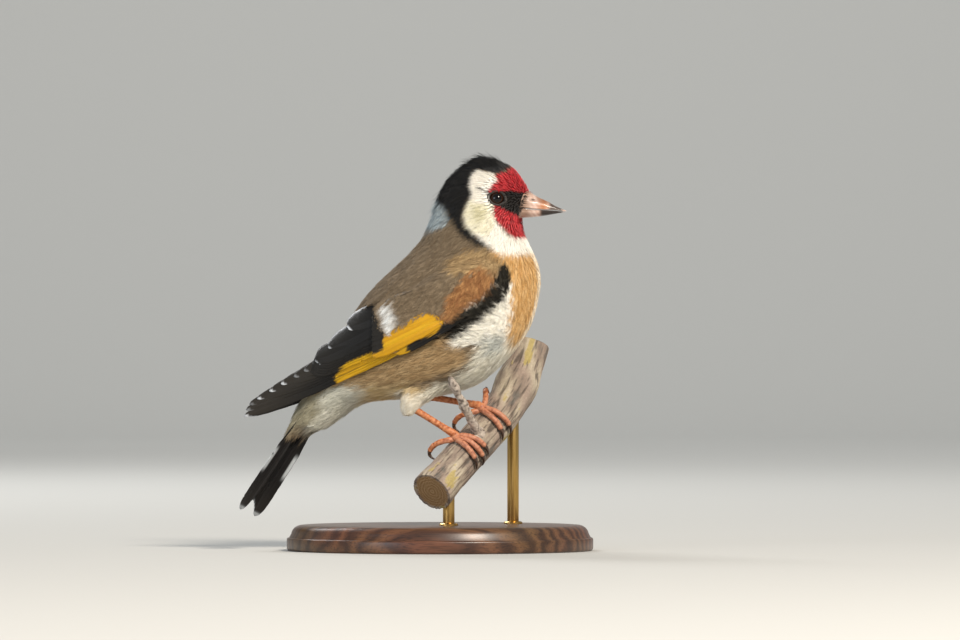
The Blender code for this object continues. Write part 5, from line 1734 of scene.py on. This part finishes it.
def perch_axis(t):
    """Points on the perch's bent middle line and the way it runs there."""
    t = np.asarray(t, float)
    past = np.maximum(0.0, t - PERCH_BEND_FROM)[..., None]
    point = PERCH_POINT + PERCH_DIRECTION * t[..., None] + PERCH_UP * PERCH_BEND * past**2
    return point, units(PERCH_DIRECTION + PERCH_UP * 2 * PERCH_BEND * past)


def perch_point(t, turn, height):
    """Points at places along the perch, turns round it and heights over it."""
    t, turn, height = (np.asarray(x, float) for x in (t, turn, height))
    point, along = perch_axis(t)
    radius = PERCH_RADIUS + sum(
        rise * np.exp(-(((t - at) / reach) ** 2)) for at, rise, reach in PERCH_SWELLINGS
    )
    reach = np.cross(
        np.broadcast_to(PERCH_SIDE, along.shape), along
    ) * np.cos(turn)[..., None] + PERCH_SIDE * np.sin(turn)[..., None]
    return point + reach * (radius + height)[..., None]


def bark_relief(t, turn):
    """Height and tint of the bark: long cracks and ridges, with flakes and lichen."""
    height, tint = np.zeros(len(t)), np.zeros(len(t))
    for i, (a, b) in enumerate(zip(t.tolist(), turn.tolist())):
        x, y = math.cos(b), math.sin(b)
        ridge = noise.noise((x * 3.2, y * 3.2, a * 95)) + 0.5 * noise.noise(
            (x * 7.5, y * 7.5, a * 190)
        )
        crack = abs(noise.noise((x * 4.1 + 9, y * 4.1, a * 60 + 5)))
        ring = noise.noise((x * 0.8 + 3, y * 0.8, a * 420))
        flake = noise.noise((x * 11, y * 11 + 4, a * 520))
        height[i] = (
            0.00016 * ridge - 0.00034 * max(0.0, 0.16 - crack) / 0.16
            + 0.00007 * ring + 0.00007 * flake
        )
        tint[i] = noise.noise((x * 2.0 + 20, y * 2.0, a * 110 + 3)) + 0.35 * flake
    return height, tint


def perch(finishes):
    """The cut branch with its bark, end grain and the stub of a twig."""

    def where(u, w):
        # The first and last rows close the cut ends with flat faces.
        lid = 0.07
        t = PERCH_FROM + (PERCH_TO - PERCH_FROM) * np.clip((u - lid) / (1 - 2 * lid), 0, 1)
        inner = np.clip(np.minimum(u, 1 - u) / lid, 0, 1)
        turn = 2 * math.pi * w
        height, _ = bark_relief(t, turn)
        feet = smooth((t + 0.010) / 0.003) * smooth((0.026 - t) / 0.003)
        height = height * (1 - 0.55 * feet) + 0.00018 * feet
        point, along = perch_axis(t)
        full = perch_point(t, turn, height)
        rings = 0.00005 * np.sin(inner * 34) * (inner < 0.93)
        share = np.where(
            inner < 1, 0.02 + 0.98 * inner, 1
        )[:, None] * (u > 1e-6)[:, None] * (u < 1 - 1e-6)[:, None]
        ends = np.where(u < 0.5, 1.0, -1.0)
        dent = ((inner < 0.999) * (0.00025 + rings))[:, None] * along * ends[:, None]
        return point + (full - point) * share + dent

    branch = wrapped(200, 112, where)
    path = SPUR_ROOT + (SPUR_TIP - SPUR_ROOT) * np.linspace(0, 1, 31)[:, None]
    path = path + np.array(
        [[0.00012 * math.sin(k * 1.1), 0.00012 * math.cos(k * 1.7), 0] for k in range(31)]
    )
    tube = along_path(path, SPUR_RADII)

    def twig(u, w):
        point = tube(u, w)
        out = np.array(
            [
                noise.noise(Vector(p) * 900) * 0.00016 + noise.noise(Vector(p) * 2600) * 0.00006
                for p in point
            ]
        )
        return tube(u, w, out)

    whole = joined([branch, wrapped(60, 28, twig)])
    mesh = from_bmesh(whole, "bark")
    points = places(mesh)
    along = (points - PERCH_POINT) @ PERCH_DIRECTION
    middle, ahead = perch_axis(along)
    apart = points - middle
    turn = np.arctan2(
        apart @ PERCH_SIDE,
        (apart * np.cross(np.broadcast_to(PERCH_SIDE, ahead.shape), ahead)).sum(-1)
    )
    height, tint = bark_relief(along, turn)
    colour = shades("#8F7F72", "#C4B8A2", smooth(0.5 + tint))
    for code, share in (
        # mauve bands
        ("#937A74", smooth((np.sin(along * 420 + turn * 2) * 0.5 + tint + 0.1) / 0.8) * 0.5),
        # deep cracks, darker where the bark is deeper: painted shade in the cracks
        ("#3D3530", smooth((-height - 0.00010) / 0.00022) * 0.7),
        # grey weathering
        ("#565B58", smooth((-0.35 - tint) / 0.3) * 0.55),
        # lichen
        ("#B9A766", smooth((tint - 0.42) / 0.12) * 0.8),
    ):
        colour = laid_over(colour, code, share)
    radius = np.linalg.norm(apart - ahead * (apart * ahead).sum(-1, keepdims=True), axis=1)
    cut = (
        (along < PERCH_FROM + 0.0007) | (along > PERCH_TO + 0.004)
    ) & (radius < PERCH_RADIUS * 0.96)
    wood = shades("#B79A70", "#8C6C47", 0.5 + 0.5 * np.sin(radius * 9000 + 0.6 * np.sin(turn * 3)))
    colour = np.where(cut[:, None], wood, colour)
    spur_way = units(SPUR_TIP - SPUR_ROOT)
    spur = np.linalg.norm(np.cross(points - SPUR_ROOT, spur_way), axis=1) < 0.0021
    up = ((points - SPUR_ROOT) @ spur_way) > 0.0015
    grain = np.array([noise.noise(Vector(p) * 1400) for p in points])
    pale = shades("#8F8379", "#C9BCAE", smooth(0.5 + grain))
    pale = pale * (1 - 0.5 * smooth((-0.15 - grain) / 0.25)[:, None])
    colour = np.where((spur & up)[:, None], pale, colour)
    paint_mesh(mesh, colour)
    piece = show("perch_bark", mesh, finishes["bark"])
    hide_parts("perch")


# Legs

# Each foot's heel, where along the perch it stands, and its toes: a name, how far the
# toe splays along the perch in metres, the turns round the perch in degrees where it
# starts and ends and where its claw ends, and how far it arches over the bark.
HEELS = {"right": (-0.0074, -0.0084, 0.0391), "left": (-0.0032, 0.0083, 0.0421)}
STATIONS = {"right": 0.0, "left": 0.0138}
SHANK_RADII = (0.00115, 0.00092, 0.00086, 0.00090, 0.00112)
PAD_RADIUS = 0.00140
PAD_HEIGHT = 0.00125
TOE_RADIUS = 0.00078
TOES = {
    "right": (
        ("inner", 0.0030, 12.0, 78.0, 112.0, 0.0), ("middle", 0.0004, 10.0, 92.0, 126.0, 0.0),
        ("outer", -0.0026, 12.0, 80.0, 114.0, 0.0), ("hind", -0.0046, -12.0, -55.0, -66.0, 0.0020)
    ),
    "left": (
        ("inner", -0.0024, 12.0, 80.0, 114.0, 0.0), ("middle", 0.0012, 10.0, 90.0, 124.0, 0.0),
        ("outer", 0.0078, -3.0, -14.0, -25.0, 0.0017),
        ("hind", -0.0050, -12.0, -56.0, -68.0, 0.0022)
    ),
}


def toe_line(station, plan, count):
    """Points along a toe's middle line, over the bark."""
    _, splay, start, end, _, arch = plan
    share = np.linspace(0, 1, count)
    turn = np.radians(start * 0.2 + (end - start * 0.2) * share)
    height = TOE_RADIUS + 0.0003 + arch * np.sin(math.pi / 2 * share)
    return perch_point(station + splay * np.sqrt(share), turn, height)


def scutes(u, w, count, rise):
    """Overlapping plates across the front of a leg or toe, each stepped over the next."""
    step = (u * count) % 1.0
    front = 0.5 + 0.5 * np.sin(2 * math.pi * w)
    return rise * (1 - step) * (0.35 + 0.65 * front) - rise * 1.1 * np.exp(-((step / 0.10) ** 2))


def legs(finishes):
    """Scaly shanks and feet that grip the perch, and their claws."""
    for side in ("right", "left"):
        station = STATIONS[side]
        heel = np.array(HEELS[side])
        pad = perch_point(station, 0.0, PAD_HEIGHT + 0.0003)
        foot_top = pad + PERCH_UP * 0.0007
        path = heel + (foot_top - heel) * np.linspace(-0.12, 1, 24)[:, None]
        tube = along_path(path, SHANK_RADII)
        parts = [wrapped(150, 28, lambda u, w: tube(u, w, scutes(u, w + 0.25, 13, 0.00010)))]

        def knob(u, w):
            local = globe(u, w)
            x, y, z = local.T
            rough = 1 + 0.05 * np.sin(x * 19) * np.sin(y * 17) * np.sin(z * 15)
            return pad + local * (PAD_RADIUS * rough)[:, None]

        parts.append(wrapped(32, 40, knob))
        claws = []
        for plan in TOES[side]:
            line = toe_line(station, plan, 60)
            share = np.linspace(0, 1, 15)
            radii = TOE_RADIUS * (1.0 - 0.16 * share + 0.09 * np.sin(share * math.pi * 3.5) ** 2)
            radii[-1] *= 0.72
            round_toe = along_path(line, radii)

            def toe(u, w, tube=round_toe):
                return tube(
                    u, w, scutes(u, w, 9, 0.00007) - 0.0004 * np.maximum(0, (u - 0.97) / 0.03) ** 2
                )

            parts.append(wrapped(110, 22, toe))
            coarse = toe_line(station, plan, 8)
            ahead = units(coarse[-1] - coarse[-2])
            root = coarse[-1] + ahead * 0.0003
            bend = root + ahead * 0.0014
            tip = perch_point(station + plan[1] * 1.12, math.radians(plan[4]), 0.00045)
            t = np.linspace(0, 1, 25)[:, None]
            curve = (root - ahead * 0.0006) * (1 - t) ** 2 + bend * 2 * t * (1 - t) + tip * t**2
            claw = along_path(curve, 0.00054 * (1 - np.linspace(0, 1, 12)) ** 0.7 + 0.00005, 1.15)
            claws.append(wrapped(40, 20, claw))
        mesh = from_bmesh(joined(parts), "leg")
        points = places(mesh)
        grain = np.array([noise.noise(Vector(p) * 1500) for p in points])
        colour = shades("#B8663A", "#D08B5E", smooth(0.5 + grain))
        near_bark = np.linalg.norm(np.cross(points - PERCH_POINT, PERCH_DIRECTION), axis=1)
        # Darker close to the bark: painted shade where the toes and pad lie on it.
        colour = laid_over(
            colour, "#8D6A55", smooth((PERCH_RADIUS + 0.0009 - near_bark) / 0.0008) * 0.5
        )
        colour = laid_over(
            colour, "#B38371", smooth((PERCH_RADIUS + 0.0030 - near_bark) / 0.0014) * 0.45
        )
        paint_mesh(mesh, laid_over(colour, "#6E3F2A", smooth((-grain - 0.18) / 0.2) * 0.35))
        piece = show(f"leg_scales_{side}", mesh, finishes["scale"])
        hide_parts(f"leg_{side}_shank", f"foot_{side}")
        horn = from_bmesh(joined(claws), "claws")
        points = places(horn)
        grain = np.array([noise.noise(Vector(p) * 2200) for p in points])
        paint_mesh(horn, shades("#2E211B", "#5A4334", smooth(0.5 + grain)))
        piece = show(f"claws_{side}", horn, finishes["claw"])
        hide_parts(*(f"claw_{side}_{plan[0]}" for plan in TOES[side]))


# Stand

BASE_RADIUS = 0.042
BASE_THICKNESS = 0.007
ROD_RADIUS = 0.0016
ROD_STATIONS = (-0.008, 0.028)


def arc(middle, radius, first, last, count):
    """Points of a small round edge in a turned profile."""
    return [
        (middle[0] + radius * math.cos(a), middle[1] + radius * math.sin(a))
        for a in np.radians(np.linspace(first, last, count))
    ]


def turned(profile, steps, closed=False):
    """A bmesh turned round the upright axis from a profile of radii and heights."""
    bm = bmesh.new()
    verts = [bm.verts.new((x, 0, z)) for x, z in profile]
    edges = [bm.edges.new(pair) for pair in zip(verts, verts[1:] + (verts[:1] if closed else []))]
    whole = {"cent": (0, 0, 0), "axis": (0, 0, 1), "angle": 2 * math.pi}
    bmesh.ops.spin(bm, geom=verts + edges, **whole, steps=steps, use_merge=True)
    bmesh.ops.remove_doubles(bm, verts=bm.verts, dist=1e-6)
    return bm


def stand(finishes):
    """The turned base, and two rods up to the perch with thin collars at their feet."""
    r, t = BASE_RADIUS, BASE_THICKNESS
    profile = [(0.0, t)]
    profile += arc((r - 0.0040, t - 0.0028), 0.0028, 90, 10, 9)
    profile += arc((r - 0.0006, t - 0.0034 - 0.0006), 0.0006, 95, 0, 5)
    profile += arc((r - 0.0008, 0.0008), 0.0008, 0, -90, 6)
    profile += [(0.0, 0.0)]
    bm = turned(profile, 160)
    bmesh.ops.dissolve_degenerate(bm, dist=1e-7, edges=bm.edges)
    mesh = from_bmesh(bm, "base")
    mesh.set_sharp_from_angle(angle=math.radians(35))
    base = show("stand_wood_base", mesh, finishes["wood"])
    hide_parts("stand_base")
    for number, station in enumerate(ROD_STATIONS, 1):
        top = perch_axis(station)[0]
        foot, head = BASE_THICKNESS - 0.0035, top[2] - 0.0003
        bm = bmesh.new()
        radii = {"radius1": ROD_RADIUS, "radius2": ROD_RADIUS}
        bmesh.ops.create_cone(bm, cap_ends=True, segments=56, **radii, depth=head - foot)
        rims = [e for e in bm.edges if len({round(v.co.z, 6) for v in e.verts}) == 1]
        bmesh.ops.bevel(
            bm, geom=rims, offset=0.00015, segments=2, profile=0.5, affect="EDGES", material=-1
        )
        bmesh.ops.translate(bm, vec=(top[0], top[1], (head + foot) / 2), verts=bm.verts)
        low, high, wide = t - 0.0006, t + 0.0007, ROD_RADIUS + 0.0010
        ring = [
            (ROD_RADIUS, low), (wide, low), (wide, t + 0.0004), (ROD_RADIUS + 0.0006, high),
            (ROD_RADIUS, high)
        ]
        collar = turned(ring, 56, closed=True)
        bmesh.ops.translate(collar, vec=(top[0], top[1], 0), verts=collar.verts)
        bmesh.ops.recalc_face_normals(collar, faces=collar.faces)
        mesh = from_bmesh(joined([bm, collar]), "rod")
        mesh.set_sharp_from_angle(angle=math.radians(40))
        rod = show(f"stand_brass_rod_{number}", mesh, finishes["brass"])
        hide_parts(f"stand_rod_{number}")


# Studio


def studio(finishes):
    """A pale sheet of paper that curves up behind, four soft lights and the camera."""
    bm = bmesh.new()
    start, round_off = 2.4, 0.9
    line = [(-4.0, 0.0), (start, 0.0)]
    line += [
        (start + round_off * math.sin(a), round_off - round_off * math.cos(a))
        for a in np.radians(np.linspace(6, 90, 15))
    ]
    line += [(3.3, 4.0)]
    verts = [bm.verts.new((-4.0, y, z)) for y, z in line]
    edges = [bm.edges.new(pair) for pair in zip(verts, verts[1:])]
    made = bmesh.ops.extrude_edge_only(bm, edges=edges)["geom"]
    bmesh.ops.translate(
        bm, vec=(8.0, 0, 0), verts=[v for v in made if isinstance(v, bmesh.types.BMVert)]
    )
    for face in bm.faces:
        face.normal_update()
    mesh = bpy.data.meshes.new("paper")
    bm.to_mesh(mesh)
    bm.free()
    if mesh.polygons[0].normal.z < 0:
        mesh.flip_normals()
    mesh.shade_smooth()
    mesh.materials.append(finishes["floor"])
    sheet = bpy.data.objects.new("studio_paper", mesh)
    bpy.context.scene.collection.objects.link(sheet)
    breast = (0.0, 0.0, 0.065)
    for name, place, aim, size, power, colour in (
        ("key_light", (0.75, -1.25, 1.15), breast, 0.42, 36.0, "#FFF4E6"),
        ("fill_light", (-1.3, -1.3, 0.5), breast, 0.8, 8.0, "#EEF4FF"),
        ("rim_light", (-0.5, 1.0, 0.9), breast, 0.5, 9.0, "#FFFFFF"),
        ("backdrop_light", (0.0, 1.9, 1.5), (0.0, 3.05, 0.25), 1.0, 10.0, "#FFFFFF"),
    ):
        data = bpy.data.lights.new(name, "AREA")
        data.size = size
        data.energy = power
        data.color = linear(colour)
        lamp = bpy.data.objects.new(name, data)
        lamp.location = place
        lamp.rotation_euler = (Vector(aim) - Vector(place)).to_track_quat("-Z", "Y").to_euler()
        bpy.context.scene.collection.objects.link(lamp)
    world = bpy.data.worlds.new("studio_air")
    world.use_nodes = True
    sky = world.node_tree.nodes["Background"].inputs
    sky["Color"].default_value = (*linear("#E9EDF2"), 1)
    sky["Strength"].default_value = 0.42
    bpy.context.scene.world = world
    bpy.context.scene.view_settings.view_transform = "Standard"
    data = bpy.data.cameras.new("camera")
    # The photograph's width is 0.26304 m at the bird, 2.5 m away.
    data.lens = 36 * 2.5 / 0.26304
    data.sensor_width = 36
    data.clip_end = 50
    camera = bpy.data.objects.new("camera", data)
    camera.location = (0.01096, -2.5, 0.06316)
    camera.rotation_euler = (math.radians(90), 0, 0)
    bpy.context.scene.collection.objects.link(camera)
    bpy.context.scene.camera = camera


def main():
    """Builds every piece and the studio."""
    finishes = make_finishes()
    flesh = relaxed(remeshed(taken(FLESH, GROWN), VOXEL), 6, GROWN)
    plumes = taken(["wing_right", "wing_left", "tail"], PLUMES_GROWN)
    whole = relaxed(remeshed(joined([taken(FLESH, GROWN), plumes]), VOXEL), 6, 0.0002)
    flesh_tree, whole_tree = coat(flesh, whole, finishes)
    crest(flesh_tree, flesh, finishes)
    wisps(whole_tree, whole, finishes)
    skin(flesh, finishes)
    wings(finishes)
    tail(finishes)
    eyes(finishes)
    bill(finishes)
    bill_bristles(finishes)
    perch(finishes)
    legs(finishes)
    stand(finishes)
    for mesh in (flesh, whole):
        bpy.data.meshes.remove(mesh)
    studio(finishes)


main()
